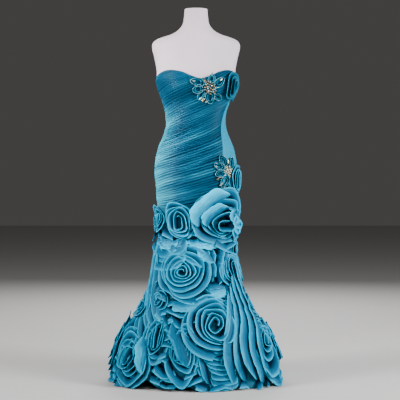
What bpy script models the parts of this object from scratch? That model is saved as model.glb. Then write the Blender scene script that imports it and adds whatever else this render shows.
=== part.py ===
"""Strapless teal gown with coiled rosettes and a train, on a limbless dress form with a stand.

Metres. X runs to the wearer's left, Y to the back and Z up. The origin is on the floor, under the pole.
"""
from collections import namedtuple
from math import cos, exp, hypot, pi, radians, sin

import bmesh
import bpy
from mathutils import Vector
from mathutils.bvhtree import BVHTree

# Driving sizes
FLOOR_TO_SHEATH_END = 0.743
FLOOR_TO_FORM_END = 0.790
NECK_TOP = 1.580
SEAM_GAP = 0.0004
SKIRT_WALL = 0.0020
PLAIN_WALL = 0.0018
PLEAT_HOLLOW = 0.0019
PLEAT_RIDGE = 0.0036
PLEAT_AT_SEAM = 0.0021
FORM_CLEARANCE = 0.0020
FORM_BUST = 0.80
STRIP_WALL = 0.0016
STRIP_SEAT = 0.0007
ROSE_SEAT = 0.0009
STRIP_START = 0.0075
SETTLING_PASSES = 4
SETTLING_SAMPLES = 15
SIDE_SEAM = 95.0
CENTRE_BACK = 180.0
HEM_FOLDS = 16
HEM_FOLD_SHARE = 0.022
HEM_FOLD_TOP = 0.14
SQUARENESS = 0.02
BUST_SHARE = 0.14
BUST_ANGLE = 30.0
BUST_HEIGHT = 1.252
BUST_SPREAD = 20.0
BUST_RISE = 0.045
CENTRE_FRONT = 6.0
STEP = 0.001

# Inside of the cloth from the floor up, and the figure above it
Section = namedtuple("Section", "height half_width front back")
SECTIONS = (
    Section(0.000, 0.330, 0.238, 0.700),
    Section(0.020, 0.331, 0.234, 0.648),
    Section(0.050, 0.330, 0.228, 0.575),
    Section(0.100, 0.322, 0.217, 0.480),
    Section(0.150, 0.308, 0.206, 0.405),
    Section(0.210, 0.283, 0.192, 0.335),
    Section(0.260, 0.250, 0.180, 0.287),
    Section(0.300, 0.220, 0.168, 0.250),
    Section(0.340, 0.199, 0.154, 0.218),
    Section(0.400, 0.178, 0.135, 0.180),
    Section(0.460, 0.163, 0.119, 0.152),
    Section(0.540, 0.154, 0.107, 0.132),
    Section(0.620, 0.151, 0.102, 0.123),
    Section(0.700, 0.152, 0.100, 0.121),
    Section(0.743, 0.161, 0.102, 0.123),
    Section(0.800, 0.166, 0.106, 0.130),
    Section(0.860, 0.171, 0.110, 0.135),
    Section(0.910, 0.171, 0.110, 0.131),
    Section(0.950, 0.167, 0.108, 0.122),
    Section(1.000, 0.155, 0.104, 0.106),
    Section(1.045, 0.136, 0.099, 0.093),
    Section(1.080, 0.1255, 0.095, 0.086),
    Section(1.110, 0.1235, 0.094, 0.084),
    Section(1.145, 0.127, 0.096, 0.086),
    Section(1.180, 0.138, 0.102, 0.090),
    Section(1.215, 0.150, 0.110, 0.094),
    Section(1.250, 0.1625, 0.117, 0.097),
    Section(1.285, 0.167, 0.118, 0.099),
    Section(1.330, 0.170, 0.110, 0.100),
    Section(1.380, 0.180, 0.094, 0.098),
    Section(1.415, 0.188, 0.079, 0.094),
    Section(1.435, 0.186, 0.070, 0.089),
    Section(1.451, 0.171, 0.062, 0.081),
    Section(1.462, 0.143, 0.056, 0.073),
    Section(1.472, 0.112, 0.052, 0.066),
    Section(1.487, 0.083, 0.049, 0.059),
    Section(1.504, 0.066, 0.048, 0.055),
    Section(1.521, 0.057, 0.049, 0.052),
    Section(1.545, 0.053, 0.049, 0.050),
    Section(1.580, 0.050, 0.048, 0.048),
)

# Rings that the form and the inside of the cloth share, so that their facets run alongside
FIGURE_RINGS = (
    0.790, 0.830, 0.870, 0.910, 0.950, 0.980, 1.010, 1.040, 1.070, 1.100, 1.130, 1.160, 1.185, 1.208,
    1.230, 1.252, 1.274, 1.296, 1.320, 1.350, 1.385, 1.415, 1.435, 1.451, 1.462, 1.472, 1.487, 1.504,
    1.521, 1.548, 1.580,
)
SKIRT_RINGS = (0.0, 0.05, 0.10, 0.16, 0.22, 0.27, 0.32, 0.38, 0.45, 0.53, 0.62, 0.70)

# Sweetheart neckline round the body, in degrees from the middle of the photo's view
Neckline = namedtuple("Neckline", "angle height")
NECKLINE = (
    Neckline(-225, 1.250),
    Neckline(-180, 1.235),
    Neckline(-135, 1.250),
    Neckline(-103, 1.272),
    Neckline(-82, 1.289),
    Neckline(-60, 1.307),
    Neckline(-40, 1.317),
    Neckline(-20, 1.308),
    Neckline(-5, 1.289),
    Neckline(7, 1.281),
    Neckline(19, 1.290),
    Neckline(34, 1.309),
    Neckline(50, 1.317),
    Neckline(70, 1.311),
    Neckline(88, 1.303),
    Neckline(108, 1.277),
    Neckline(135, 1.250),
    Neckline(180, 1.235),
    Neckline(225, 1.250),
)

# Seam between the pleated front and the smooth side strip
SideSeam = namedtuple("SideSeam", "height angle")
FRONT_LEFT_SEAM = (
    SideSeam(0.740, 40),
    SideSeam(0.880, 40),
    SideSeam(0.960, 41),
    SideSeam(1.050, 50),
    SideSeam(1.110, 60),
    SideSeam(1.160, 69),
    SideSeam(1.230, 80),
    SideSeam(1.320, 88),
)

# How far a pleat climbs across its panel, by the height at which it starts
Climb = namedtuple("Climb", "start rise")
FRONT_CLIMB = (
    Climb(0.68, 0.050),
    Climb(0.78, 0.080),
    Climb(0.90, 0.105),
    Climb(1.00, 0.130),
    Climb(1.10, 0.165),
    Climb(1.20, 0.200),
    Climb(1.32, 0.215),
)
BACK_CLIMB = (
    Climb(0.68, 0.030),
    Climb(0.90, 0.055),
    Climb(1.10, 0.075),
    Climb(1.30, 0.090),
)
FRONT_PLEATS = 50
FRONT_PLEAT_PITCH = 0.0136
FRONT_COLUMNS = 15
BACK_PLEATS = 34
BACK_PLEAT_PITCH = 0.0182
BACK_COLUMNS = 6
SIDE_COLUMNS = 4
PLEAT_CREST = 0.62
SNAP = 0.0022

# A coiled rosette: its middle on the gown, its half sizes along the cloth with the outer fold's lean, its
# turns, the side where its strip leaves it (0 towards the wearer's left, 90 up), and how far it stands out
Coil = namedtuple("Coil", "angle height across up turns leaves crest")
Fold = namedtuple("Fold", "angle height")
Strip = namedtuple("Strip", "node start folds end")
STRIPS = (
    Strip("rosettes_hip_right", Coil(-68, 0.690, 0.039, 0.055, 2.4, -90, 0.034), (
        Fold(-56, 0.628), Fold(-46, 0.606), Fold(-36, 0.604),
    ), Coil(-25.5, 0.674, 0.050, 0.069, 3.4, -90, 0.036)),
    Strip("rosettes_hip_left", Coil(43, 0.705, 0.103, 0.109, 4.4, -75, 0.036), (
        Fold(74, 0.610), Fold(92, 0.596), Fold(106, 0.602),
    ), Coil(121, 0.675, 0.069, 0.071, 3.0, -90, 0.036)),
    Strip("rosettes_hip_back", Coil(-174, 0.678, 0.082, 0.077, 3.2, -90, 0.036), (
        Fold(-158, 0.602), Fold(-142, 0.598), Fold(-130, 0.606),
    ), Coil(-115.5, 0.676, 0.056, 0.071, 3.0, -90, 0.036)),
    Strip("ruffle_thigh", None, (
        Fold(-88, 0.580), Fold(-80, 0.606), Fold(-72, 0.566), Fold(-64, 0.598), Fold(-55, 0.572),
        Fold(-40, 0.586), Fold(-14, 0.590), Fold(-5, 0.604), Fold(3, 0.564), Fold(13, 0.588),
        Fold(21, 0.548), Fold(30, 0.584), Fold(44, 0.582),
    ), None),
    Strip("rosettes_knee_front", Coil(-21, 0.462, 0.093, 0.113, 4.8, -62, 0.042), (
        Fold(4, 0.358), Fold(14, 0.396), Fold(21, 0.356), Fold(29, 0.392), Fold(38, 0.360), Fold(46, 0.372),
    ), Coil(64, 0.476, 0.056, 0.093, 3.4, -100, 0.040)),
    Strip("ruffle_knee_right", None, (
        Fold(-78, 0.545), Fold(-62, 0.535), Fold(-80, 0.505), Fold(-64, 0.485), Fold(-82, 0.458),
        Fold(-64, 0.438), Fold(-80, 0.408), Fold(-62, 0.388), Fold(-78, 0.358), Fold(-54, 0.338),
        Fold(-72, 0.300), Fold(-52, 0.280), Fold(-64, 0.244),
    ), None),
    Strip("rosettes_knee_back_right", Coil(-160.5, 0.470, 0.061, 0.093, 3.0, -90, 0.042), (
        Fold(-152, 0.340), Fold(-140, 0.376), Fold(-130, 0.310), Fold(-120, 0.346), Fold(-110, 0.270),
        Fold(-98, 0.330), Fold(-106, 0.366),
    ), Coil(-115.5, 0.470, 0.057, 0.091, 3.0, -70, 0.042)),
    Strip("rosettes_knee_back_left", Coil(111, 0.470, 0.052, 0.091, 3.0, -110, 0.042), (
        Fold(98, 0.330), Fold(108, 0.270), Fold(118, 0.340), Fold(128, 0.300), Fold(138, 0.370),
        Fold(146, 0.340),
    ), Coil(154.5, 0.470, 0.059, 0.093, 3.0, -90, 0.042)),
    Strip("rosette_hem_front", Coil(18.5, 0.237, 0.081, 0.101, 4.2, -100, 0.044), (
        Fold(26, 0.112), Fold(9, 0.103), Fold(25, 0.090), Fold(9, 0.076), Fold(25, 0.060), Fold(9, 0.045),
        Fold(25, 0.029), Fold(8, 0.015),
    ), None),
    Strip("rosettes_hem_right", Coil(-30, 0.185, 0.036, 0.137, 2.4, -70, 0.042), (
        Fold(-25, 0.038), Fold(-20, 0.022),
    ), Coil(-11.5, 0.152, 0.046, 0.117, 2.8, -100, 0.042)),
    Strip("ruffle_hem_left", None, (
        Fold(56, 0.350), Fold(48, 0.325), Fold(55, 0.298), Fold(45, 0.268), Fold(52, 0.236), Fold(43, 0.205),
        Fold(50, 0.172), Fold(42, 0.140), Fold(49, 0.105), Fold(42, 0.074), Fold(48, 0.042), Fold(42, 0.016),
    ), None),
    Strip("rosettes_train_right", Coil(-99, 0.155, 0.107, 0.119, 3.6, -90, 0.044), (
        Fold(-90, 0.036), Fold(-82, 0.070), Fold(-76, 0.028), Fold(-68, 0.052), Fold(-64, 0.044),
    ), Coil(-57, 0.124, 0.063, 0.091, 3.4, -90, 0.044)),
    Strip("rosettes_train_left", Coil(70, 0.160, 0.063, 0.103, 3.6, -90, 0.044), (
        Fold(80, 0.050), Fold(87, 0.078), Fold(94, 0.038), Fold(99, 0.044),
    ), Coil(105, 0.155, 0.109, 0.119, 3.6, -90, 0.044)),
    Strip("rosettes_train_back_right", Coil(-152, 0.235, 0.103, 0.101, 3.6, 180, 0.044), (
        Fold(-176, 0.180), Fold(-172, 0.140), Fold(-179, 0.100),
    ), Coil(-160, 0.068, 0.103, 0.095, 3.4, 180, 0.044)),
    Strip("rosettes_train_back_left", Coil(152, 0.235, 0.103, 0.101, 3.6, 180, 0.044), (
        Fold(136, 0.150), Fold(132, 0.100), Fold(136, 0.060),
    ), Coil(160, 0.068, 0.103, 0.095, 3.4, 180, 0.044)),
)
STATION_SPACING = 0.036
STATION_TURN = 45.0
SHARPEST_MITRE = 0.45
COIL_HEART = 0.16
RUFFLE_CREST = 0.040
STRIP_LEAN = 0.018
SMALL_COIL_LEAN_SHARE = 0.24
HEART_LEAN = 0.5
RIM_LEAN = 1.6
HEART_CREST = 1.10
RIM_CREST = 0.88
CREST_WAVE = 0.07
CREST_WAVES = 2.6

# Small roses of the same cloth, low on the bodice and at the hip
BUST_ROSE = Coil(60, 1.254, 0.048, 0.055, 3.2, -60, 0.021)
HIP_ROSE = Coil(78, 0.856, 0.031, 0.051, 2.6, -80, 0.020)

# Beaded motifs: leaves by direction, 0 towards the wearer's left and 90 up
Leaf = namedtuple("Leaf", "direction length")
BUST_BROOCH_LEAVES = (
    Leaf(20, 0.028), Leaf(62, 0.050), Leaf(104, 0.062), Leaf(146, 0.068), Leaf(180, 0.062),
    Leaf(216, 0.064), Leaf(254, 0.066), Leaf(294, 0.050), Leaf(334, 0.028),
)
HIP_BROOCH_LEAVES = (
    Leaf(28, 0.022), Leaf(70, 0.052), Leaf(104, 0.070), Leaf(150, 0.038), Leaf(190, 0.042),
    Leaf(228, 0.052), Leaf(264, 0.070), Leaf(300, 0.050), Leaf(338, 0.024),
)
BUST_BROOCH_AT = Fold(20, 1.242)
HIP_BROOCH_AT = Fold(47, 0.897)
BROOCH_HEART = 0.020
LEAF_FLANK = 0.30
LEAF_FULLNESS = 0.72
BROOCH_RINGS = (0.52, 1.0)
BUST_BROOCH_FOOT = 0.0058
HIP_BROOCH_FOOT = 0.0031
BROOCH_CROWN = 0.0090
BROOCH_EDGE = 0.0025

# Closure at the centre back
SLIDER_HEIGHT = 1.222
SLIDER_SEAT = 0.0031
SLIDER_HALF = Vector((0.0035, 0.0014, 0.0060))
BRIDGE_HALF_WIDTH = 0.0007
BRIDGE_REACH = 0.0026
BRIDGE_WALL = 0.0008
BRIDGE_FOOT = 0.0002
BRIDGE_TOP = 0.0052
BRIDGE_CORNER = 0.0006
BRIDGE_ROOT = 0.0005
TAB_THICKNESS = 0.0010
TAB_HALF_WIDTH = 0.0028
TAB_LENGTH = 0.0210
TAB_SHOULDER = 0.0045
TAB_BAR = 0.0005
TAB_WAIST = 0.8
TAB_EYE_HALF_WIDTH = 0.0013
TAB_EYE_END = 0.0038
PIVOT_OUT = 0.0010
PIVOT_UP = 0.0027

# Stand
POLE_RADIUS = 0.011
BASE_RADIUS = 0.150
BASE_THICKNESS = 0.008
BASE_EDGE = 0.002
COLLAR_RADIUS = 0.022
COLLAR_HEIGHT = 0.040
TOUCH_GAP = 0.0003
NECK_RIM = 0.007
NECK_DISH = 0.004
FORM_COLUMNS = 22
FRONT_SKIRT_COLUMNS = 18
BACK_SKIRT_COLUMNS = 20

Look = namedtuple("Look", "colour roughness metallic")
TEAL = Look((0.045, 0.33, 0.44), 0.42, 0.0)
TEAL_LIGHT = Look((0.10, 0.42, 0.54), 0.40, 0.0)
TEAL_DEEP = Look((0.03, 0.26, 0.38), 0.42, 0.0)
FORM_CREAM = Look((0.62, 0.55, 0.60), 0.6, 0.0)
CRYSTAL_AND_GOLD = Look((0.70, 0.62, 0.45), 0.25, 0.6)
STEEL = Look((0.55, 0.56, 0.58), 0.30, 1.0)


def clear_scene():
    """Remove whatever the file opens with."""
    for old in list(bpy.data.objects):
        bpy.data.objects.remove(old)


def make_material(name, look):
    """A Principled material of one look."""
    material = bpy.data.materials.new(name)
    material.use_nodes = True
    shader = material.node_tree.nodes["Principled BSDF"]
    shader.inputs["Base Color"].default_value = (*look.colour, 1.0)
    shader.inputs["Roughness"].default_value = look.roughness
    shader.inputs["Metallic"].default_value = look.metallic
    return material


def finish_piece(bm, name, look, crease=35.0):
    """Turn a closed bmesh into a named object with its own material."""
    bmesh.ops.recalc_face_normals(bm, faces=bm.faces)
    mesh = bpy.data.meshes.new(name)
    bm.to_mesh(mesh)
    bm.free()
    mesh.shade_smooth()
    mesh.set_sharp_from_angle(angle=radians(crease))
    piece = bpy.data.objects.new(name, mesh)
    piece.data.materials.append(make_material(name, look))
    bpy.context.scene.collection.objects.link(piece)
    return piece


def read_curve(rows, value):
    """The row of a table at a value of its first column, on a smooth curve through its rows."""
    last = len(rows) - 1
    value = min(max(value, rows[0][0]), rows[last][0])
    index = 0
    while index < last - 1 and value > rows[index + 1][0]:
        index += 1
    low = rows[index]
    high = rows[index + 1]
    span = high[0] - low[0]
    t = (value - low[0]) / span
    found = [value]
    for column in range(1, len(low)):
        before = rows[max(index - 1, 0)]
        after = rows[min(index + 2, last)]
        leave = (high[column] - before[column]) / (high[0] - before[0]) * span
        arrive = (after[column] - low[column]) / (after[0] - low[0]) * span
        found.append(
            low[column] * (2 * t ** 3 - 3 * t ** 2 + 1)
            + leave * (t ** 3 - 2 * t ** 2 + t)
            + high[column] * (3 * t ** 2 - 2 * t ** 3)
            + arrive * (t ** 3 - t ** 2)
        )
    return type(low)(*found)


def bust_swell(angle, height):
    """The share by which the bust stands out of the figure's ellipse."""
    from_middle = (angle - CENTRE_FRONT + 180) % 360 - 180
    off_point = (abs(from_middle) - BUST_ANGLE) / BUST_SPREAD
    off_height = (height - BUST_HEIGHT) / BUST_RISE
    return BUST_SHARE * exp(-off_point ** 2 - off_height ** 2)


def hem_swell(angle, height):
    """The share by which the soft folds at the hem stand out."""
    fall = max(0.0, 1 - height / HEM_FOLD_TOP)
    return HEM_FOLD_SHARE * fall ** 1.5 * cos(HEM_FOLDS * radians(angle))


def figure_point(angle, height, bust=1.0):
    """A point on the inside of the cloth. The angle is in degrees from the front towards the wearer's left."""
    row = read_curve(SECTIONS, height)
    turn = radians(angle)
    depth = row.front if cos(turn) > 0 else row.back
    swell = 1 + SQUARENESS * sin(2 * turn) ** 2 + bust * bust_swell(angle, height) + hem_swell(angle, height)
    return Vector((row.half_width * sin(turn) * swell, -depth * cos(turn) * swell, height))


def slopes(angle, height):
    """How the inside of the cloth runs for each degree round the body and each metre up."""
    low = max(height - STEP, 0.0)
    high = min(height + STEP, NECK_TOP)
    around = (figure_point(angle + 0.2, height) - figure_point(angle - 0.2, height)) / 0.4
    upward = (figure_point(angle, high) - figure_point(angle, low)) / (high - low)
    return around, upward


def outward(angle, height):
    """The direction that faces away from the body."""
    around, upward = slopes(angle, height)
    return around.cross(upward).normalized()


def cloth_point(angle, height, out):
    """A point that stands a distance out of the inside of the cloth."""
    return figure_point(angle, height) + outward(angle, height) * out


def stitch(bm, first, second):
    """A band of triangles between two borders, each a list of marks and points that run the same way."""
    i = 0
    j = 0
    while i < len(first) - 1 or j < len(second) - 1:
        first_done = i == len(first) - 1
        second_done = j == len(second) - 1
        halfway = second[-1][0] if second_done else 0.5 * (second[j][0] + second[j + 1][0])
        if second_done or (not first_done and first[i + 1][0] <= halfway):
            bm.faces.new((first[i][1], first[i + 1][1], second[j][1]))
            i += 1
        else:
            bm.faces.new((first[i][1], second[j + 1][1], second[j][1]))
            j += 1


def skin_of_panel(bm, columns, seams, edges, rows):
    """One face of a panel: rows of points between two seams, each held inside the lower and upper edge.

    Returns the four borders: first seam, second seam, lower edge, upper edge.
    """
    def angle_at(fraction, height):
        first, second = seams(height)
        return first + (second - first) * fraction

    lines = []
    marks_of_lines = []
    for column in range(columns + 1):
        fraction = column / columns
        limits = []
        for edge in edges:
            height = edge(angle_at(fraction, 1.0))
            for _ in range(5):
                height = edge(angle_at(fraction, height))
            limits.append(height)
        line = []
        marks = []
        made = {}
        for row in rows:
            height, out, out_at_edge = row(fraction)
            if height < limits[0] + SNAP:
                height = limits[0]
                out = out_at_edge
            elif height > limits[1] - SNAP:
                height = limits[1]
                out = out_at_edge
            key = round(height, 6)
            if key not in made:
                made[key] = bm.verts.new(cloth_point(angle_at(fraction, height), height, out))
            line.append(made[key])
            marks.append(key)
        lines.append(line)
        marks_of_lines.append(marks)
    for line, after in zip(lines, lines[1:]):
        for index in range(len(rows) - 1):
            corners = []
            for corner in (line[index], after[index], after[index + 1], line[index + 1]):
                if corner not in corners:
                    corners.append(corner)
            if len(corners) > 2:
                bm.faces.new(corners)

    def side_border(column):
        marked = []
        for mark, point in zip(marks_of_lines[column], lines[column]):
            if not marked or marked[-1][1] is not point:
                marked.append((mark, point))
        return marked

    lower = [(column, line[0]) for column, line in enumerate(lines)]
    upper = [(column, line[-1]) for column, line in enumerate(lines)]
    return side_border(0), side_border(-1), lower, upper


def cloth_panel(name, look, columns, seams, edges, outer_rows, rings):
    """A closed wall of cloth: a shaped outer face over a plain inner one."""
    bm = bmesh.new()
    inner_rows = [lambda fraction, height=height: (height, 0.0, 0.0) for height in rings]
    outer = skin_of_panel(bm, columns, seams, edges, outer_rows)
    inner = skin_of_panel(bm, columns, seams, edges, inner_rows)
    for outer_border, inner_border in zip(outer, inner):
        stitch(bm, outer_border, inner_border)
    return finish_piece(bm, name, look)


def pleat_rows(climb, first_start, pitch, count, bend):
    """Two lines of points for each lapped pleat, its hollow and its crest, which climb across the panel."""
    rows = []
    for pleat in range(count):
        for share, out in ((0.0, PLEAT_HOLLOW), (PLEAT_CREST, PLEAT_RIDGE)):
            start = first_start + (pleat + share) * pitch
            rise = read_curve(climb, start).rise
            rows.append(lambda fraction, start=start, rise=rise, out=out: (
                start + rise * bend(fraction), out if 0 < fraction < 1 else PLEAT_AT_SEAM, PLEAT_HOLLOW))
    return rows


def plain_rows(rings, wall):
    """Level lines of points with one wall thickness."""
    return [lambda fraction, height=height: (height, wall, wall) for height in rings]


def neckline(angle):
    """Height of the sweetheart edge, or of the back edge."""
    return read_curve(NECKLINE, (angle + 180) % 360 - 180).height


def sheath_end(angle):
    """Height at which the pleated sheath ends."""
    return FLOOR_TO_SHEATH_END


def skirt_top(angle):
    """Height at which the skirt starts, a seam's gap below the sheath."""
    return FLOOR_TO_SHEATH_END - SEAM_GAP


def hem(angle):
    """The skirt reaches the floor."""
    return 0.0


def gap_angle(height, angle):
    """Half a seam's gap as an angle, at one place on the body."""
    around, _ = slopes(angle, height)
    return 0.5 * SEAM_GAP / around.length


def between(first_seam, second_seam):
    """The two seams of a panel, each with half of the gap taken off."""
    def seams(height):
        first = first_seam(height)
        second = second_seam(height)
        return first + gap_angle(height, first), second - gap_angle(height, second)
    return seams


def right_side(height):
    """Side seam at the wearer's right."""
    return -SIDE_SEAM


def right_side_from_left(height):
    """The same seam, counted on from the wearer's left."""
    return 360 - SIDE_SEAM


def left_side(height):
    """Side seam at the wearer's left."""
    return SIDE_SEAM


def front_left(height):
    """Seam between the pleated front and the smooth strip."""
    return read_curve(FRONT_LEFT_SEAM, height).angle


def centre_back(height):
    """The zip's line, counted from the wearer's left."""
    return CENTRE_BACK


def centre_back_from_right(height):
    """The zip's line, counted from the wearer's right."""
    return -CENTRE_BACK


def add_bodice():
    """Pleated front, smooth side strip and two pleated back pieces."""
    rings = [FLOOR_TO_SHEATH_END] + [height for height in FIGURE_RINGS if height < 1.34]
    edges = (sheath_end, neckline)
    front_rows = pleat_rows(FRONT_CLIMB, 0.66, FRONT_PLEAT_PITCH, FRONT_PLEATS + 4, lambda f: f ** 1.6)
    left_rows = pleat_rows(BACK_CLIMB, 0.68, BACK_PLEAT_PITCH, BACK_PLEATS, lambda f: 1 - f)
    right_rows = pleat_rows(BACK_CLIMB, 0.68, BACK_PLEAT_PITCH, BACK_PLEATS, lambda f: f)
    return [
        cloth_panel("bodice_front", TEAL, FRONT_COLUMNS, between(right_side, front_left),
                    edges, front_rows, rings),
        cloth_panel("side_panel_left", TEAL_LIGHT, SIDE_COLUMNS, between(front_left, left_side),
                    edges, plain_rows(rings, PLAIN_WALL), rings),
        cloth_panel("bodice_back_left", TEAL, BACK_COLUMNS, between(left_side, centre_back),
                    edges, left_rows, rings),
        cloth_panel("bodice_back_right", TEAL, BACK_COLUMNS, between(centre_back_from_right, right_side),
                    edges, right_rows, rings),
    ]


def add_skirt():
    """Flared skirt in two pieces, the back one with the train."""
    rings = list(SKIRT_RINGS) + [FLOOR_TO_SHEATH_END]
    rows = plain_rows(rings, SKIRT_WALL)
    edges = (hem, skirt_top)
    return [
        cloth_panel("skirt_front", TEAL_DEEP, FRONT_SKIRT_COLUMNS, between(right_side, left_side),
                    edges, rows, rings),
        cloth_panel("skirt_back", TEAL_DEEP, BACK_SKIRT_COLUMNS, between(left_side, right_side_from_left),
                    edges, rows, rings),
    ]


Station = namedtuple("Station", "angle height crest lean")


def coil_stations(coil, outwards):
    """Stations of a coiled strip, turning one way, from its heart outwards or from its rim inwards."""
    around, upward = slopes(coil.angle, coil.height)
    lean = min(STRIP_LEAN, SMALL_COIL_LEAN_SHARE * coil.across)
    whole = 360 * coil.turns
    turned = 0.0
    stations = []
    while turned < whole:
        reach = 1 - (1 - COIL_HEART) * turned / whole
        direction = coil.leaves - turned if outwards else coil.leaves + turned
        across = (coil.across - lean) * reach * cos(radians(direction))
        up = (coil.up - lean) * reach * sin(radians(direction))
        crest = coil.crest * (HEART_CREST + (RIM_CREST - HEART_CREST) * reach)
        crest *= 1 + CREST_WAVE * cos(radians(CREST_WAVES * direction))
        stations.append(Station(
            coil.angle + across / around.length,
            coil.height + up / upward.length,
            crest,
            lean * (HEART_LEAN + (RIM_LEAN - HEART_LEAN) * reach ** 4),
        ))
        radius = reach * hypot(
            (coil.across - lean) * sin(radians(direction)), (coil.up - lean) * cos(radians(direction)))
        turned += min(STATION_TURN, 180 / pi * STATION_SPACING / radius)
    if outwards:
        stations.reverse()
    return stations


def fill_in(stations):
    """Add stations on the long runs, so that the strip follows the cloth."""
    filled = [stations[0]]
    for station in stations[1:]:
        before = filled[-1]
        run = cloth_point(*station[:2], 0.0) - cloth_point(*before[:2], 0.0)
        parts = max(1, round(run.length / STATION_SPACING))
        for part in range(1, parts + 1):
            share = part / parts
            filled.append(Station(*(a + (b - a) * share for a, b in zip(before, station))))
    return filled


def search_tree(pieces):
    """The surfaces of several pieces, to measure from."""
    bm = bmesh.new()
    for piece in pieces:
        bm.from_mesh(piece.data)
    tree = BVHTree.FromBMesh(bm)
    bm.free()
    return tree


def settled_feet(stations, cloth, seat):
    """How far out each station's foot lies, so that the strip's lower edge rests just clear of the cloth."""
    outs = [STRIP_START] * len(stations)
    for _ in range(SETTLING_PASSES):
        feet = [cloth_point(station.angle, station.height, out) for station, out in zip(stations, outs)]
        room = [STRIP_START] * len(stations)
        for index in range(len(stations) - 1):
            for sample in range(SETTLING_SAMPLES):
                point = feet[index].lerp(feet[index + 1], sample / (SETTLING_SAMPLES - 1))
                distance = cloth.find_nearest(point)[3]
                room[index] = min(room[index], distance)
                room[index + 1] = min(room[index + 1], distance)
        outs = [out - max(0.0, free - seat) for out, free in zip(outs, room)]
    return outs


def standing_strip(name, look, stations, cloth, seat):
    """A closed strip of cloth that stands on edge along its stations and leans out of its coils.

    Both sides of the wall are split along the same diagonal, so that a twist doesn't cross them.
    """
    bm = bmesh.new()
    outs = settled_feet(stations, cloth, seat)
    feet = [cloth_point(station.angle, station.height, out) for station, out in zip(stations, outs)]
    rings = []
    for index, station in enumerate(stations):
        facing = outward(station.angle, station.height)
        before = feet[max(index - 1, 0)]
        after = feet[min(index + 1, len(feet) - 1)]
        here = feet[index]
        arriving = (here - before).normalized() if index else (after - here).normalized()
        leaving = (after - here).normalized() if index < len(feet) - 1 else arriving
        along = (arriving + leaving).normalized()
        sideways = facing.cross(along).normalized()
        mitre = 1 / max(along.dot(arriving), SHARPEST_MITRE)
        half = sideways * (0.5 * STRIP_WALL * mitre)
        rim = here + facing * (station.crest - outs[index]) - sideways * station.lean
        corners = (here + half, rim + half, rim - half, here - half)
        lifted = [Vector((corner.x, corner.y, max(corner.z, TOUCH_GAP))) for corner in corners]
        rings.append([bm.verts.new(corner) for corner in lifted])
    for ring, after in zip(rings, rings[1:]):
        for foot, rim in ((0, 1), (3, 2)):
            bm.faces.new((ring[foot], ring[rim], after[rim]))
            bm.faces.new((ring[foot], after[rim], after[foot]))
        for near, far in ((1, 2), (3, 0)):
            bm.faces.new((ring[near], ring[far], after[far], after[near]))
    bm.faces.new(rings[0])
    bm.faces.new(rings[-1])
    return finish_piece(bm, name, look)


def add_strips(cloth):
    """The folded strips that cover the skirt: rosettes, and the ruffles that run on from them."""
    for strip in STRIPS:
        stations = []
        if strip.start:
            stations += coil_stations(strip.start, outwards=True)
        for fold in strip.folds:
            stations.append(Station(fold.angle, fold.height, RUFFLE_CREST, 0.0))
        if strip.end:
            stations += coil_stations(strip.end, outwards=False)
        standing_strip(strip.node, TEAL_LIGHT, fill_in(stations), cloth, STRIP_SEAT)


def add_roses(cloth):
    """Two small roses coiled from strips of the same cloth."""
    standing_strip("bust_rose", TEAL, coil_stations(BUST_ROSE, outwards=True), cloth, ROSE_SEAT)
    standing_strip("hip_rose", TEAL_LIGHT, coil_stations(HIP_ROSE, outwards=True), cloth, STRIP_SEAT)


def brooch(name, place, leaves, foot):
    """A beaded motif as one low solid, with a leaf for each row of its table round a raised middle."""
    around, upward = slopes(place.angle, place.height)
    bm = bmesh.new()

    def point(direction, reach, out):
        across = reach * cos(radians(direction)) / around.length
        up = reach * sin(radians(direction)) / upward.length
        return bm.verts.new(cloth_point(place.angle + across, place.height + up, out))

    outline = []
    for leaf, after in zip(leaves, leaves[1:] + leaves[:1]):
        turn = (after.direction - leaf.direction) % 360
        outline.append((leaf.direction, leaf.length))
        outline.append((leaf.direction + LEAF_FLANK * turn, LEAF_FULLNESS * leaf.length))
        outline.append((leaf.direction + 0.5 * turn, BROOCH_HEART))
        outline.append((after.direction - LEAF_FLANK * turn, LEAF_FULLNESS * after.length))
    top_middle = point(0, 0.0, foot + BROOCH_CROWN)
    foot_middle = point(0, 0.0, foot)
    tops = []
    foots = []
    for share in BROOCH_RINGS:
        height = BROOCH_EDGE + (BROOCH_CROWN - BROOCH_EDGE) * (1 - share) ** 1.5
        tops.append([point(direction, reach * share, foot + height) for direction, reach in outline])
        foots.append([point(direction, reach * share, foot) for direction, reach in outline])
    count = len(outline)
    for middle, layers in ((top_middle, tops), (foot_middle, foots)):
        for index in range(count):
            following = (index + 1) % count
            bm.faces.new((middle, layers[0][index], layers[0][following]))
            for inner, outer in zip(layers, layers[1:]):
                bm.faces.new((inner[index], outer[index], outer[following], inner[following]))
    for index in range(count):
        following = (index + 1) % count
        bm.faces.new((tops[-1][index], foots[-1][index], foots[-1][following], tops[-1][following]))
    return finish_piece(bm, name, CRYSTAL_AND_GOLD)


def add_brooches():
    """The motif on the bust and the one on the hip."""
    brooch("bust_brooch", BUST_BROOCH_AT, BUST_BROOCH_LEAVES, BUST_BROOCH_FOOT)
    brooch("hip_brooch", HIP_BROOCH_AT, HIP_BROOCH_LEAVES, HIP_BROOCH_FOOT)


def box_mesh(bm, low, high):
    """A block between two corners."""
    middle = (low + high) / 2
    made = bmesh.ops.create_cube(bm, size=1.0)
    size = high - low
    bmesh.ops.scale(bm, verts=made["verts"], vec=size)
    bmesh.ops.translate(bm, verts=made["verts"], vec=middle)


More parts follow.
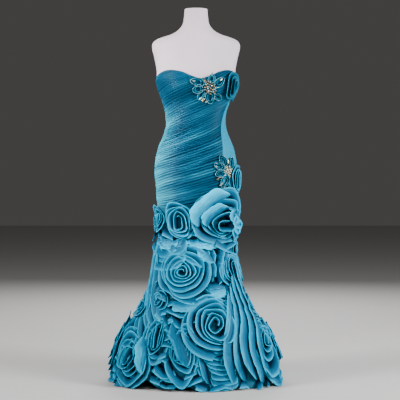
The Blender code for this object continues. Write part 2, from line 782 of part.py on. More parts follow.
def add_zip():
    """The zip's slider at the top of the centre back, and the pull tab that hangs on its bridge."""
    seat = cloth_point(CENTRE_BACK, SLIDER_HEIGHT, SLIDER_SEAT)
    face = seat + Vector((0, 2 * SLIDER_HALF.y, 0))
    bm = bmesh.new()
    box_mesh(bm, seat + Vector((-SLIDER_HALF.x, 0, -SLIDER_HALF.z)),
             face + Vector((SLIDER_HALF.x, 0, SLIDER_HALF.z)))
    slider = finish_piece(bm, "zip_slider", STEEL)
    bm = bmesh.new()
    inside = BRIDGE_REACH - BRIDGE_WALL
    profile = (
        (-BRIDGE_ROOT, BRIDGE_FOOT), (BRIDGE_REACH - BRIDGE_CORNER, BRIDGE_FOOT),
        (BRIDGE_REACH, BRIDGE_FOOT + BRIDGE_WALL), (BRIDGE_REACH, BRIDGE_TOP - BRIDGE_WALL),
        (BRIDGE_REACH - BRIDGE_CORNER, BRIDGE_TOP), (-BRIDGE_ROOT, BRIDGE_TOP),
        (-BRIDGE_ROOT, BRIDGE_TOP - BRIDGE_WALL), (inside, BRIDGE_TOP - BRIDGE_WALL),
        (inside, BRIDGE_FOOT + BRIDGE_WALL), (-BRIDGE_ROOT, BRIDGE_FOOT + BRIDGE_WALL),
    )
    ring = [bm.verts.new(face + Vector((-BRIDGE_HALF_WIDTH, out, up))) for out, up in profile]
    side = bm.faces.new(ring)
    pulled = bmesh.ops.extrude_face_region(bm, geom=[side])
    moved = [item for item in pulled["geom"] if isinstance(item, bmesh.types.BMVert)]
    bmesh.ops.translate(bm, verts=moved, vec=Vector((2 * BRIDGE_HALF_WIDTH, 0, 0)))
    bridge = finish_piece(bm, "zip_bridge_shape", STEEL)
    bridge.hide_render = True
    bridge.display_type = "WIRE"
    join = slider.modifiers.new("bridge", "BOOLEAN")
    join.operation = "UNION"
    join.object = bridge
    add_tab(face + Vector((0, PIVOT_OUT, PIVOT_UP)))


def add_tab(pivot):
    """The pull tab, a flat ring and plate whose top bar lies under the bridge, with its origin on that bar."""
    bm = bmesh.new()
    waist = TAB_WAIST * TAB_HALF_WIDTH
    flank = 1.5 * TAB_HALF_WIDTH - TAB_LENGTH
    outline = (
        (-TAB_HALF_WIDTH, TAB_BAR), (TAB_HALF_WIDTH, TAB_BAR), (TAB_HALF_WIDTH, -TAB_SHOULDER),
        (waist, -0.6 * TAB_LENGTH), (TAB_HALF_WIDTH, flank), (0.0, -TAB_LENGTH), (-TAB_HALF_WIDTH, flank),
        (-waist, -0.6 * TAB_LENGTH), (-TAB_HALF_WIDTH, -TAB_SHOULDER),
    )
    eye = (
        (-TAB_EYE_HALF_WIDTH, -TAB_BAR), (TAB_EYE_HALF_WIDTH, -TAB_BAR),
        (TAB_EYE_HALF_WIDTH, -TAB_EYE_END), (-TAB_EYE_HALF_WIDTH, -TAB_EYE_END),
    )
    edges = []
    for loop in (outline, eye):
        ring = [bm.verts.new((across, -0.5 * TAB_THICKNESS, up)) for across, up in loop]
        for index, vert in enumerate(ring):
            edges.append(bm.edges.new((vert, ring[(index + 1) % len(ring)])))
    bmesh.ops.triangle_fill(bm, edges=edges, use_beauty=True)
    pulled = bmesh.ops.extrude_face_region(bm, geom=list(bm.faces))
    moved = [item for item in pulled["geom"] if isinstance(item, bmesh.types.BMVert)]
    bmesh.ops.translate(bm, verts=moved, vec=Vector((0, TAB_THICKNESS, 0)))
    tab = finish_piece(bm, "zip_tab", STEEL)
    tab.location = pivot


def add_form():
    """The limbless torso with its neck, closed below and dished a little on top."""
    bm = bmesh.new()
    rings = []
    for height in FIGURE_RINGS:
        ring = []
        for column in range(FORM_COLUMNS):
            angle = 360 * column / FORM_COLUMNS
            around, upward = slopes(angle, height)
            facing = around.cross(Vector((0, 0, 1))).normalized()
            ring.append(bm.verts.new(figure_point(angle, height, FORM_BUST) - facing * FORM_CLEARANCE))
        rings.append(ring)
    for ring, after in zip(rings, rings[1:]):
        for column in range(FORM_COLUMNS):
            following = (column + 1) % FORM_COLUMNS
            bm.faces.new((ring[column], ring[following], after[following], after[column]))
    bm.faces.new(rings[0])
    top = bm.faces.new(rings[-1])
    bm.normal_update()
    bmesh.ops.inset_region(bm, faces=[top], thickness=NECK_RIM, depth=0.0)
    bmesh.ops.translate(bm, verts=top.verts, vec=Vector((0, 0, -NECK_DISH)))
    return finish_piece(bm, "dress_form", FORM_CREAM, crease=50.0)


def turned(bm, profile, sides):
    """A solid of revolution about the upright axis, from points of radius and height."""
    start = [bm.verts.new((radius, 0, height)) for radius, height in profile]
    edges = [bm.edges.new(pair) for pair in zip(start, start[1:])]
    bmesh.ops.spin(bm, geom=start + edges, axis=(0, 0, 1), cent=(0, 0, 0), steps=sides, angle=2 * pi,
                   use_merge=True)
    bmesh.ops.remove_doubles(bm, verts=bm.verts, dist=0.00001)


def add_stand():
    """A steel pole in the collar of a round plate, up to the underside of the form."""
    bm = bmesh.new()
    turned(bm, (
        (0.0, 0.0), (BASE_RADIUS, 0.0), (BASE_RADIUS, BASE_THICKNESS - BASE_EDGE),
        (BASE_RADIUS - BASE_EDGE, BASE_THICKNESS), (COLLAR_RADIUS, BASE_THICKNESS),
        (COLLAR_RADIUS, COLLAR_HEIGHT), (POLE_RADIUS + TOUCH_GAP, COLLAR_HEIGHT),
        (POLE_RADIUS + TOUCH_GAP, BASE_THICKNESS), (0.0, BASE_THICKNESS),
    ), 24)
    finish_piece(bm, "stand_base", STEEL)
    bm = bmesh.new()
    low = BASE_THICKNESS + TOUCH_GAP
    high = FLOOR_TO_FORM_END - TOUCH_GAP
    turned(bm, ((0.0, low), (POLE_RADIUS, low), (POLE_RADIUS, high), (0.0, high)), 12)
    finish_piece(bm, "stand_pole", STEEL)


clear_scene()
add_form()
add_stand()
gown = add_bodice() + add_skirt()
gown_surface = search_tree(gown)
add_strips(gown_surface)
add_roses(gown_surface)
add_brooches()
add_zip()
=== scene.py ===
"""Teal pageant gown with a pleated sheath and a skirt of coiled fabric rosettes, on a limbless dress form.

Metres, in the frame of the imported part: X to the wearer's left, Y to the back, Z up from the floor.
"""

from collections import namedtuple
from math import ceil, pi, radians

import bmesh
import bpy
import numpy as np
from mathutils import Matrix, Vector


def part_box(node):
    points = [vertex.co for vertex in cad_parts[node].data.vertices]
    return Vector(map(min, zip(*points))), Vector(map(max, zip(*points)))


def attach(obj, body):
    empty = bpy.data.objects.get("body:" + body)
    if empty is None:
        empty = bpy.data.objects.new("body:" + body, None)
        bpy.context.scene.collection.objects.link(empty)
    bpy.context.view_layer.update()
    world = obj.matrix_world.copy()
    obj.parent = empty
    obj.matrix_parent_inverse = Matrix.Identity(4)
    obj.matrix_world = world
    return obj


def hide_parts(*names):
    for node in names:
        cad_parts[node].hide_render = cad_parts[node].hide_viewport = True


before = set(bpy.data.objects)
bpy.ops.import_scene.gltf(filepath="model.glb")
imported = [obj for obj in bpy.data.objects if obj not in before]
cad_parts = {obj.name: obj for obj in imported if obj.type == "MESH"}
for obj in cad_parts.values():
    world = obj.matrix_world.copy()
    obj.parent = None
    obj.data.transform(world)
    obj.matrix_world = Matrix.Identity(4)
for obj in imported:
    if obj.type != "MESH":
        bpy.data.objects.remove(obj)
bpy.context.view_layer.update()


# Stand: a turned steel plate with a collar, and a steel tube that carries the form.
# Both are brushed and clear lacquered. The skirt hides them from most sides.
STEEL_COLOUR = (0.50, 0.51, 0.53)
PLATE_TOP = 0.008
PLATE_EDGE = 0.003
EDGE_BULGE = 0.4
COLLAR_RADIUS = 0.022
COLLAR_TOP = 0.040
COLLAR_FILLET = 0.003
ROUNDING = 0.001
TUBE_RADIUS = 0.011
TUBE_GAP = 0.0003
PLATE_STEPS = 96
TUBE_STEPS = 48


class Socket:
    """An output of a shader node. A sum with it adds the Math nodes."""

    def __init__(self, tree, output=None):
        self.tree = tree
        self.output = output

    def make(self, kind, settings=None, values=None, output=0):
        """A node of one kind: its settings first, then the values or links of its sockets."""
        node = self.tree.nodes.new(kind)
        for name, value in (settings or {}).items():
            setattr(node, name, value)
        for name, value in (values or {}).items():
            self.plug(node.inputs[name], value)
        return Socket(self.tree, node.outputs[output])

    def plug(self, socket, value):
        """Link a socket, or set its own value."""
        if isinstance(value, Socket):
            self.tree.links.new(value.output, socket)
        else:
            socket.default_value = value

    def reckon(self, operation, first, second):
        """A Math node on two values."""
        return self.make("ShaderNodeMath", {"operation": operation}, {0: first, 1: second})

    def __add__(self, other):
        return self.reckon("ADD", self, other)

    def __radd__(self, other):
        return self.reckon("ADD", other, self)

    def __mul__(self, other):
        return self.reckon("MULTIPLY", self, other)

    def __rmul__(self, other):
        return self.reckon("MULTIPLY", other, self)

    def blend(self, low, high):
        """Between two colours, by this value."""
        return self.make("ShaderNodeMix", {"data_type": "RGBA", "clamp_factor": True},
                         {"Factor": self, 6: low, 7: high}, output=2)

    def clipped(self, low, high):
        """From 0 to 1 as this value goes from low to high."""
        return self.make("ShaderNodeMapRange", {"clamp": True},
                         {"Value": self, "From Min": low, "From Max": high})


def new_finish(name, constants):
    """A Principled material with constant values on its own sockets, and a handle to make its nodes."""
    material = bpy.data.materials.new(name)
    material.use_nodes = True
    shader = material.node_tree.nodes["Principled BSDF"]
    for socket, value in constants.items():
        shader.inputs[socket].default_value = value
    return material, shader, Socket(material.node_tree)


def noise(shading, place, scale, detail=2.0, stretch=(1.0, 1.0, 1.0)):
    """Procedural noise on a vector, from 0 to 1."""
    turned = shading.make("ShaderNodeMapping", values={"Vector": place, "Scale": stretch})
    return shading.make("ShaderNodeTexNoise", values={"Vector": turned, "Scale": scale, "Detail": detail})


def place_on_object(shading):
    """The point's own place on the piece."""
    return shading.make("ShaderNodeTexCoord", output="Object")


def bump(shading, height, strength, distance):
    """A normal raised by a height."""
    return shading.make("ShaderNodeBump", values={
        "Height": height, "Strength": strength, "Distance": distance})


def steel_finish():
    """Brushed steel under lacquer, with fine rings and a few duller patches."""
    material, shader, shading = new_finish("brushed_steel", {
        "Base Color": (*STEEL_COLOUR, 1.0), "Metallic": 1.0, "Coat Weight": 0.3, "Coat Roughness": 0.15})
    place = place_on_object(shading)
    brushed = noise(shading, place, 60.0, 4.0, stretch=(1.0, 1.0, 14.0))
    dull = noise(shading, place, 9.0)
    shading.plug(shader.inputs["Roughness"], 0.24 + brushed * 0.14 + dull * 0.10)
    shading.plug(shader.inputs["Normal"], bump(shading, brushed, 0.15, 0.0004))
    return material


def add_piece(bm, name, material, nodes=(), smooth=True):
    """A bmesh as a finished piece that stays with the gown and stands for CAD nodes."""
    mesh = bpy.data.meshes.new(name)
    bm.to_mesh(mesh)
    bm.free()
    mesh.materials.append(material)
    if smooth:
        mesh.shade_smooth()
    piece = bpy.data.objects.new(name, mesh)
    bpy.context.scene.collection.objects.link(piece)
    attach(piece, "root")
    if nodes:
        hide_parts(*nodes)
    return piece


def turned_piece(name, profile, material, node, steps=PLATE_STEPS):
    """A solid of revolution about the upright axis, with its edges kept crisp."""
    bm = bmesh.new()
    start = [bm.verts.new((radius, 0, height)) for radius, height in profile]
    edges = [bm.edges.new(pair) for pair in zip(start, start[1:])]
    bmesh.ops.spin(bm, geom=start + edges, axis=(0, 0, 1), cent=(0, 0, 0), steps=steps, angle=2 * pi,
                   use_merge=True)
    bmesh.ops.remove_doubles(bm, verts=bm.verts, dist=0.00001)
    bmesh.ops.recalc_face_normals(bm, faces=bm.faces)
    piece = add_piece(bm, name, material, [node])
    piece.data.set_sharp_from_angle(angle=radians(40))
    return piece


steel = steel_finish()
plate_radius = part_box("stand_base")[1].x
tube_low, tube_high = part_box("stand_pole")
bulge = EDGE_BULGE * PLATE_EDGE
bore = TUBE_RADIUS + TUBE_GAP
turned_piece("stand_plate", (
    (0.0, 0.0), (plate_radius - ROUNDING, 0.0), (plate_radius, ROUNDING),
    (plate_radius, PLATE_TOP - PLATE_EDGE), (plate_radius - bulge, PLATE_TOP - bulge),
    (plate_radius - PLATE_EDGE, PLATE_TOP),
    (COLLAR_RADIUS + COLLAR_FILLET, PLATE_TOP), (COLLAR_RADIUS, PLATE_TOP + COLLAR_FILLET),
    (COLLAR_RADIUS, COLLAR_TOP - ROUNDING), (COLLAR_RADIUS - ROUNDING, COLLAR_TOP),
    (bore, COLLAR_TOP), (bore, PLATE_TOP), (0.0, PLATE_TOP),
), steel, "stand_base")
turned_piece("stand_tube", (
    (0.0, tube_low.z), (TUBE_RADIUS, tube_low.z), (TUBE_RADIUS, tube_high.z), (0.0, tube_high.z),
), steel, "stand_pole", steps=TUBE_STEPS)


# Dress form: a limbless torso of padded papier mache under a close jersey cover, with a neck that ends in a
# shallow dish. The cover is sewn from four gores.
# The rings of its figure, below, also shape the gown that lies on it.
Section = namedtuple("Section", "height half_width front back")
FIGURE = (
    Section(0.000, 0.330, 0.238, 0.700),
    Section(0.020, 0.331, 0.234, 0.648),
    Section(0.050, 0.330, 0.228, 0.575),
    Section(0.100, 0.322, 0.217, 0.480),
    Section(0.150, 0.308, 0.206, 0.405),
    Section(0.210, 0.283, 0.192, 0.335),
    Section(0.260, 0.250, 0.180, 0.287),
    Section(0.300, 0.220, 0.168, 0.250),
    Section(0.340, 0.199, 0.154, 0.218),
    Section(0.400, 0.178, 0.135, 0.180),
    Section(0.460, 0.163, 0.119, 0.152),
    Section(0.540, 0.154, 0.107, 0.132),
    Section(0.620, 0.151, 0.102, 0.123),
    Section(0.700, 0.152, 0.100, 0.121),
    Section(0.743, 0.161, 0.102, 0.123),
    Section(0.800, 0.166, 0.106, 0.130),
    Section(0.860, 0.171, 0.110, 0.135),
    Section(0.910, 0.171, 0.110, 0.131),
    Section(0.950, 0.167, 0.108, 0.122),
    Section(1.000, 0.155, 0.104, 0.106),
    Section(1.045, 0.136, 0.099, 0.093),
    Section(1.080, 0.1255, 0.095, 0.086),
    Section(1.110, 0.1235, 0.094, 0.084),
    Section(1.145, 0.127, 0.096, 0.086),
    Section(1.180, 0.138, 0.102, 0.090),
    Section(1.215, 0.150, 0.110, 0.094),
    Section(1.250, 0.1625, 0.117, 0.097),
    Section(1.285, 0.167, 0.118, 0.099),
    Section(1.330, 0.170, 0.110, 0.100),
    Section(1.380, 0.180, 0.094, 0.098),
    Section(1.415, 0.188, 0.079, 0.094),
    Section(1.435, 0.186, 0.070, 0.089),
    Section(1.451, 0.171, 0.062, 0.081),
    Section(1.462, 0.143, 0.056, 0.073),
    Section(1.472, 0.112, 0.052, 0.066),
    Section(1.487, 0.083, 0.049, 0.059),
    Section(1.504, 0.066, 0.048, 0.055),
    Section(1.521, 0.057, 0.049, 0.052),
    Section(1.545, 0.053, 0.049, 0.050),
    Section(1.580, 0.050, 0.048, 0.048),
)
SQUARENESS = 0.02
BUST_SHARE = 0.14
FORM_BUST = 0.80
BUST_ANGLE = 30.0
BUST_HEIGHT = 1.252
BUST_SPREAD = 20.0
BUST_RISE = 0.045
CENTRE_FRONT = 6.0
HEM_FOLDS = 16
HEM_FOLD_SHARE = 0.022
HEM_FOLD_TOP = 0.14
SLOPE_DEGREES = 0.2
SLOPE_METRES = 0.001
NOISE_CELLS = 64
FORM_CLEARANCE = 0.0020
FORM_COLUMNS = 112
FORM_ROWS = 150
GORE_SEAMS = (0, 90, 180, 270)
SEAM_WIDTH = 0.0016
SEAM_DEPTH = 0.0007
NECK_DISH = 0.004
NeckStep = namedtuple("NeckStep", "share drop")
NECK_STEPS = (
    NeckStep(0.03, -0.0006), NeckStep(0.10, -0.0004), NeckStep(0.15, 0.35 * NECK_DISH),
    NeckStep(0.24, 0.85 * NECK_DISH), NeckStep(0.50, NECK_DISH), NeckStep(1.00, NECK_DISH),
)
UNDERSIDE_SHARES = (0.0, 0.4, 0.8, 0.97)
COVER_COLOUR = (0.72, 0.62, 0.70)
COVER_SHADE = (0.62, 0.52, 0.60)


def smooth_rows(table, at):
    """The rows of a table at values of its first column, on a smooth curve through its rows."""
    table = np.array(table, float)
    last = len(table) - 1
    at = np.clip(np.asarray(at, float), table[0, 0], table[last, 0])
    index = np.clip(np.searchsorted(table[:, 0], at, side="right") - 1, 0, last - 1)
    low = table[index]
    high = table[index + 1]
    before = table[np.maximum(index - 1, 0)]
    after = table[np.minimum(index + 2, last)]
    span = high[..., :1] - low[..., :1]
    t = (at[..., None] - low[..., :1]) / span
    leave = (high - before) / (high[..., :1] - before[..., :1]) * span
    arrive = (after - low) / (after[..., :1] - low[..., :1]) * span
    return (low * (2 * t ** 3 - 3 * t ** 2 + 1) + leave * (t ** 3 - 2 * t ** 2 + t)
            + high * (3 * t ** 2 - 2 * t ** 3) + arrive * (t ** 3 - t ** 2))


def turn_from(middle, angle):
    """Degrees from a middle to an angle, the shorter way round."""
    return (angle - middle + 180) % 360 - 180


def figure(angle, height, bust=1.0):
    """Points on the inside of the cloth, by degrees from the front to the wearer's left and by height."""
    angle = np.asarray(angle, float)
    row = smooth_rows(FIGURE, height)
    turn = np.radians(angle)
    swell = bust * BUST_SHARE * np.exp(
        -((np.abs(turn_from(CENTRE_FRONT, angle)) - BUST_ANGLE) / BUST_SPREAD) ** 2
        - ((height - BUST_HEIGHT) / BUST_RISE) ** 2)
    fall = np.maximum(0.0, 1 - height / HEM_FOLD_TOP)
    folds = HEM_FOLD_SHARE * fall ** 1.5 * np.cos(HEM_FOLDS * turn)
    size = 1 + SQUARENESS * np.sin(2 * turn) ** 2 + swell + folds
    depth = np.where(np.cos(turn) > 0, row[..., 2], row[..., 3])
    return np.stack([row[..., 1] * np.sin(turn) * size, -depth * np.cos(turn) * size,
                     np.broadcast_to(height, size.shape)], axis=-1)


def slopes(angle, height, bust=1.0):
    """How the figure runs for each degree round it, and for each metre up."""
    low = np.maximum(height - SLOPE_METRES, 0.0)
    high = np.minimum(height + SLOPE_METRES, FIGURE[-1].height)
    ahead = figure(angle + SLOPE_DEGREES, height, bust)
    behind = figure(angle - SLOPE_DEGREES, height, bust)
    around = (ahead - behind) / (2 * SLOPE_DEGREES)
    upward = (figure(angle, high, bust) - figure(angle, low, bust)) / (high - low)[..., None]
    return around, upward


def metres(angle, height):
    """Metres along the cloth for each degree round it, and for each metre up."""
    around, upward = slopes(angle, height)
    return np.linalg.norm(around, axis=-1), np.linalg.norm(upward, axis=-1)


def unit(vectors):
    """The same directions, one long."""
    return vectors / np.maximum(np.linalg.norm(vectors, axis=-1, keepdims=True), 1e-12)


def outward(angle, height):
    """The directions that face away from the body."""
    return unit(np.cross(*slopes(angle, height)))


def on_cloth(angle, height, out):
    """Points that stand a distance out of the inside of the cloth."""
    angle, height = np.broadcast_arrays(np.asarray(angle, float), np.asarray(height, float))
    return figure(angle, height) + outward(angle, height) * np.asarray(out)[..., None]


def soft_noise(x, y, seed):
    """Smooth uneven values from -1 to 1 over a plane, the same each time for one seed."""
    lattice = np.random.default_rng(seed).uniform(-1, 1, (NOISE_CELLS, NOISE_CELLS))
    x, y = np.broadcast_arrays(np.asarray(x, float), np.asarray(y, float))
    x_cell = np.floor(x).astype(int)
    y_cell = np.floor(y).astype(int)
    x_share = x - x_cell
    y_share = y - y_cell
    x_share = x_share * x_share * (3 - 2 * x_share)
    y_share = y_share * y_share * (3 - 2 * y_share)
    corner = {(i, j): lattice[(x_cell + i) % NOISE_CELLS, (y_cell + j) % NOISE_CELLS]
              for i in (0, 1) for j in (0, 1)}
    low = corner[0, 0] * (1 - x_share) + corner[1, 0] * x_share
    high = corner[0, 1] * (1 - x_share) + corner[1, 1] * x_share
    return low * (1 - y_share) + high * y_share


def add_grid(bm, points, marks=None):
    """A grid of faces, rows by columns, with its points moved to their places and their marks stored."""
    rows, columns = points.shape[:2]
    if marks is not None:
        layers = bm.verts.layers.float_vector
        layer = layers.get("cloth") or layers.new("cloth")
    made = bmesh.ops.create_grid(bm, x_segments=columns - 1, y_segments=rows - 1, size=1.0)["verts"]
    for vert, place in zip(made, points.reshape(-1, 3).tolist()):
        vert.co = place
    if marks is not None:
        for vert, mark in zip(made, marks.reshape(-1, 3).tolist()):
            vert[layer] = mark


def cover_finish():
    """Close cream jersey with a pink cast and a fine knit, a little darker in patches."""
    material, shader, shading = new_finish("form_cover", {
        "Roughness": 0.62, "Sheen Weight": 0.25, "Sheen Roughness": 0.5, "Specular IOR Level": 0.35})
    place = place_on_object(shading)
    patches = noise(shading, place, 5.0, 3.0)
    knit = noise(shading, place, 900.0, 1.0)
    shade = (patches * 0.9).clipped(0.25, 0.75)
    shading.plug(shader.inputs["Base Color"], shade.blend((*COVER_COLOUR, 1.0), (*COVER_SHADE, 1.0)))
    shading.plug(shader.inputs["Normal"], bump(shading, knit, 0.12, 0.0006))
    return material


form_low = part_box("dress_form")[0].z
form_top = FIGURE[-1].height
form_angles = np.linspace(-180, 180, FORM_COLUMNS + 1)
form_heights = form_low + (form_top - form_low) * np.linspace(0, 1, FORM_ROWS)
angle, height = np.meshgrid(form_angles, form_heights)
around, upward = slopes(angle, height, FORM_BUST)
facing = unit(np.cross(around, np.array([0.0, 0.0, 1.0])))
from_seams = [np.linalg.norm(around, axis=-1) * turn_from(seam, angle) for seam in GORE_SEAMS]
sunk = FORM_CLEARANCE + SEAM_DEPTH * sum(np.exp(-(aside / SEAM_WIDTH) ** 2) for aside in from_seams)
form_points = figure(angle, height, FORM_BUST) - facing * sunk[..., None]
rim = form_points[-1]
middle = np.array([0.0, 0.0, form_top])
dish = [rim + (middle - rim) * step.share - np.array([0.0, 0.0, step.drop]) for step in NECK_STEPS]
underside = [form_points[0] * (share, share, 1.0) for share in UNDERSIDE_SHARES]
bm = bmesh.new()
add_grid(bm, np.array(underside + list(form_points) + dish))
bmesh.ops.remove_doubles(bm, verts=bm.verts, dist=0.00002)
bmesh.ops.recalc_face_normals(bm, faces=bm.faces)
form = add_piece(bm, "form_torso", cover_finish(), ["dress_form"])
form.data.set_sharp_from_angle(angle=radians(60))


# Pleated front: one panel of teal satin from the sweetheart neckline to mid thigh. Its lapped pleats are
# laid by hand on the slant and caught at both seams. So they are uneven, gather in groups and fade at the
# right side.
SHEATH_END = 0.743
SEAM_GAP = 0.0004
SIDE_SEAM = 95.0
Neckline = namedtuple("Neckline", "angle height")
NECKLINE = (
    Neckline(-225, 1.250), Neckline(-180, 1.235), Neckline(-135, 1.250), Neckline(-103, 1.272),
    Neckline(-82, 1.289), Neckline(-60, 1.307), Neckline(-40, 1.317), Neckline(-20, 1.308),
    Neckline(-5, 1.289), Neckline(7, 1.281), Neckline(19, 1.290), Neckline(34, 1.309),
    Neckline(50, 1.317), Neckline(70, 1.311), Neckline(88, 1.303), Neckline(108, 1.277),
    Neckline(135, 1.250), Neckline(180, 1.235), Neckline(225, 1.250),
)
SideSeam = namedtuple("SideSeam", "height angle")
FRONT_LEFT_SEAM = (
    SideSeam(0.740, 40), SideSeam(0.880, 40), SideSeam(0.960, 41), SideSeam(1.050, 50),
    SideSeam(1.110, 60), SideSeam(1.160, 69), SideSeam(1.230, 80), SideSeam(1.320, 88),
)
Climb = namedtuple("Climb", "start rise")
FRONT_CLIMB = (
    Climb(0.68, 0.050), Climb(0.78, 0.080), Climb(0.90, 0.105), Climb(1.00, 0.130),
    Climb(1.10, 0.165), Climb(1.20, 0.200), Climb(1.32, 0.215),
)
PleatPoint = namedtuple("PleatPoint", "share out drop")
LAPPED_PLEAT = (
    PleatPoint(0.00, 0.00, 0.00), PleatPoint(0.05, 0.62, -0.10), PleatPoint(0.13, 0.96, -0.12),
    PleatPoint(0.27, 1.00, -0.03), PleatPoint(0.52, 0.70, 0.00), PleatPoint(0.80, 0.30, 0.00),
)
PLEATS_BELOW = 0.03
PLEATS_TOP = 1.34
PLEAT_SPREAD = 0.34
PLEAT_STRENGTH = 0.62
PLEAT_WANDER = 0.30
GROUP_SWELL = 0.0011
SLACK_SWELL = 0.0018
FRONT_PITCH = 0.0090
FRONT_DEPTH = 0.0031
FRONT_COLUMNS = 165
PANEL_ARC = 0.45
PANEL_FOOT = 0.0016
PANEL_EASE = 0.0009
LEAST_OUT = 0.0012
SEAM_REACH = 0.004
EDGE_REACH = 0.004
END_REACH = 0.003
EDGE_ROLL = 0.00077
SIDE_TURN = 0.0015
EdgeStep = namedtuple("EdgeStep", "above out")
TURNED_EDGE = (EdgeStep(0.0007, 0.55), EdgeStep(0.0, 0.0), EdgeStep(-0.008, -0.10))
EDGE_RISE = 0.5
NECKLINE_GUESS = 1.28
NECKLINE_ROUNDS = 8
# Where light is painted on the bodice: at the wearer's right side, from the waist down.
PAINTED_LIGHT_SIDE = -82.0
PAINTED_LIGHT_SPREAD = 54.0
PAINTED_LIGHT_TOP = 1.215
PAINTED_LIGHT_FADE = 0.10
FADE_LEAST = 0.45
FADE_START = 0.06
FADE_SPAN = 0.30
PEAK_SHARE = 0.30
PEAK_HEIGHT = 1.30
PEAK_SPREAD = (0.20, 0.045)
PEAK_FADE = 0.78
FRONT_BEND = 1.6
FRONT_SEED = 11
SATIN_SHEEN_TINT = (0.24, 0.80, 1.0, 1.0)
SATIN_GLOSS_TINT = (0.50, 0.88, 1.0, 1.0)
WEAVE = (1400.0, 2600.0, 0.0)
# Bodice satin: its deep colour is painted shade in the pleats' hollows, its pale colour painted light on the
# crests and the wearer's right side; random patches also reach both.
SATIN_BODICE = (0.000, 0.066, 0.136)
BODICE_PAINTED_SHADE = (0.000, 0.008, 0.026)
BODICE_PAINTED_LIGHT = (0.030, 0.420, 0.560)


def satin_finish(name, deep, face, pale, streaks=(26.0, 420.0), sheen=0.35, low=(0.16, 0.66),
                 high=(0.68, 1.12), bands=(9.0, 30.0), patchy=0.16):
    """Teal satin: streaks of lighter and deeper colour along the folds, painted shade in the hollows, a
    painted highlight on folded edges, and a fine weave.

    The cloth attribute holds metres along the fold, metres across it and the rise from hollow to crest. The
    rise sets the painted shade and highlight.
    """
    material, shader, shading = new_finish(name, {
        "Sheen Weight": sheen, "Sheen Roughness": 0.40, "Sheen Tint": SATIN_SHEEN_TINT,
        "Specular IOR Level": 0.14, "Specular Tint": SATIN_GLOSS_TINT})
    cloth = shading.make("ShaderNodeAttribute", {"attribute_name": "cloth"}, output="Vector")
    rise = shading.make("ShaderNodeSeparateXYZ", values={"Vector": cloth}, output="Z")
    flow = noise(shading, cloth, 1.0, 3.0, stretch=(*streaks, 0.0))
    patches = noise(shading, cloth, 1.0, 3.0, stretch=(*bands, 0.0))
    weave = noise(shading, cloth, 1.0, 1.0, stretch=WEAVE)
    # Painted shade and light: a low rise gives the deep colour as shade, a high rise the pale colour as a
    # highlight; streaks and patches add random tone.
    tone = rise * 0.80 + flow * 0.30 + patches * patchy
    shaded = tone.clipped(*low).blend((*deep, 1.0), (*face, 1.0))
    shading.plug(shader.inputs["Base Color"], tone.clipped(*high).blend(shaded, (*pale, 1.0)))
    shading.plug(shader.inputs["Roughness"], 0.40 + flow * 0.12 + weave * 0.06)
    shading.plug(shader.inputs["Normal"], bump(shading, flow * 0.4 + weave * 0.08, 0.20, 0.0006))
    return material


def neckline(angle):
    """Height of the sweetheart edge, or of the back edge."""
    return smooth_rows(NECKLINE, turn_from(0, angle))[..., 1]


def front_left(height):
    """Seam between the pleated front and the smooth strip."""
    return smooth_rows(FRONT_LEFT_SEAM, height)[..., 1]


def within_seams(share, height, first_seam, second_seam):
    """The angle at a share of the way across a panel, with half the seam's gap kept at both sides."""
    first = first_seam(height)
    second = second_seam(height)
    gap = 0.5 * SEAM_GAP / metres(first, height)[0]
    return first + gap + (second - first - 2 * gap) * share


def top_of_panel(share, first_seam, second_seam):
    """The neckline's height at each share of the way across a panel."""
    height = np.full_like(share, NECKLINE_GUESS)
    for _ in range(NECKLINE_ROUNDS):
        height = neckline(within_seams(share, height, first_seam, second_seam))
    return height


def seam_dip(share, arc):
    """From 0 at the two seams to 1 inside the panel."""
    return 1 - np.exp(-np.minimum(share, 1 - share) * arc / SEAM_REACH)


def painted_side_light(angle, height):
    """How much light is painted on the cloth: most at the wearer's right side, from the waist down."""
    beside = np.clip(1 - np.abs(turn_from(PAINTED_LIGHT_SIDE, angle)) / PAINTED_LIGHT_SPREAD, 0, 1)
    return beside * np.clip((PAINTED_LIGHT_TOP - height) / PAINTED_LIGHT_FADE, 0, 1)


def turned_edge(share, top, seams):
    """Rows of points, each with its heights, that turn a panel's top edge over and down behind it."""
    angle = within_seams(share, top, *seams)
    rows = []
    for step in TURNED_EDGE:
        out = np.full_like(share, (PANEL_FOOT + PANEL_EASE) * step.out)
        rows.append((on_cloth(angle, top + step.above, out), top + step.above))
    return rows


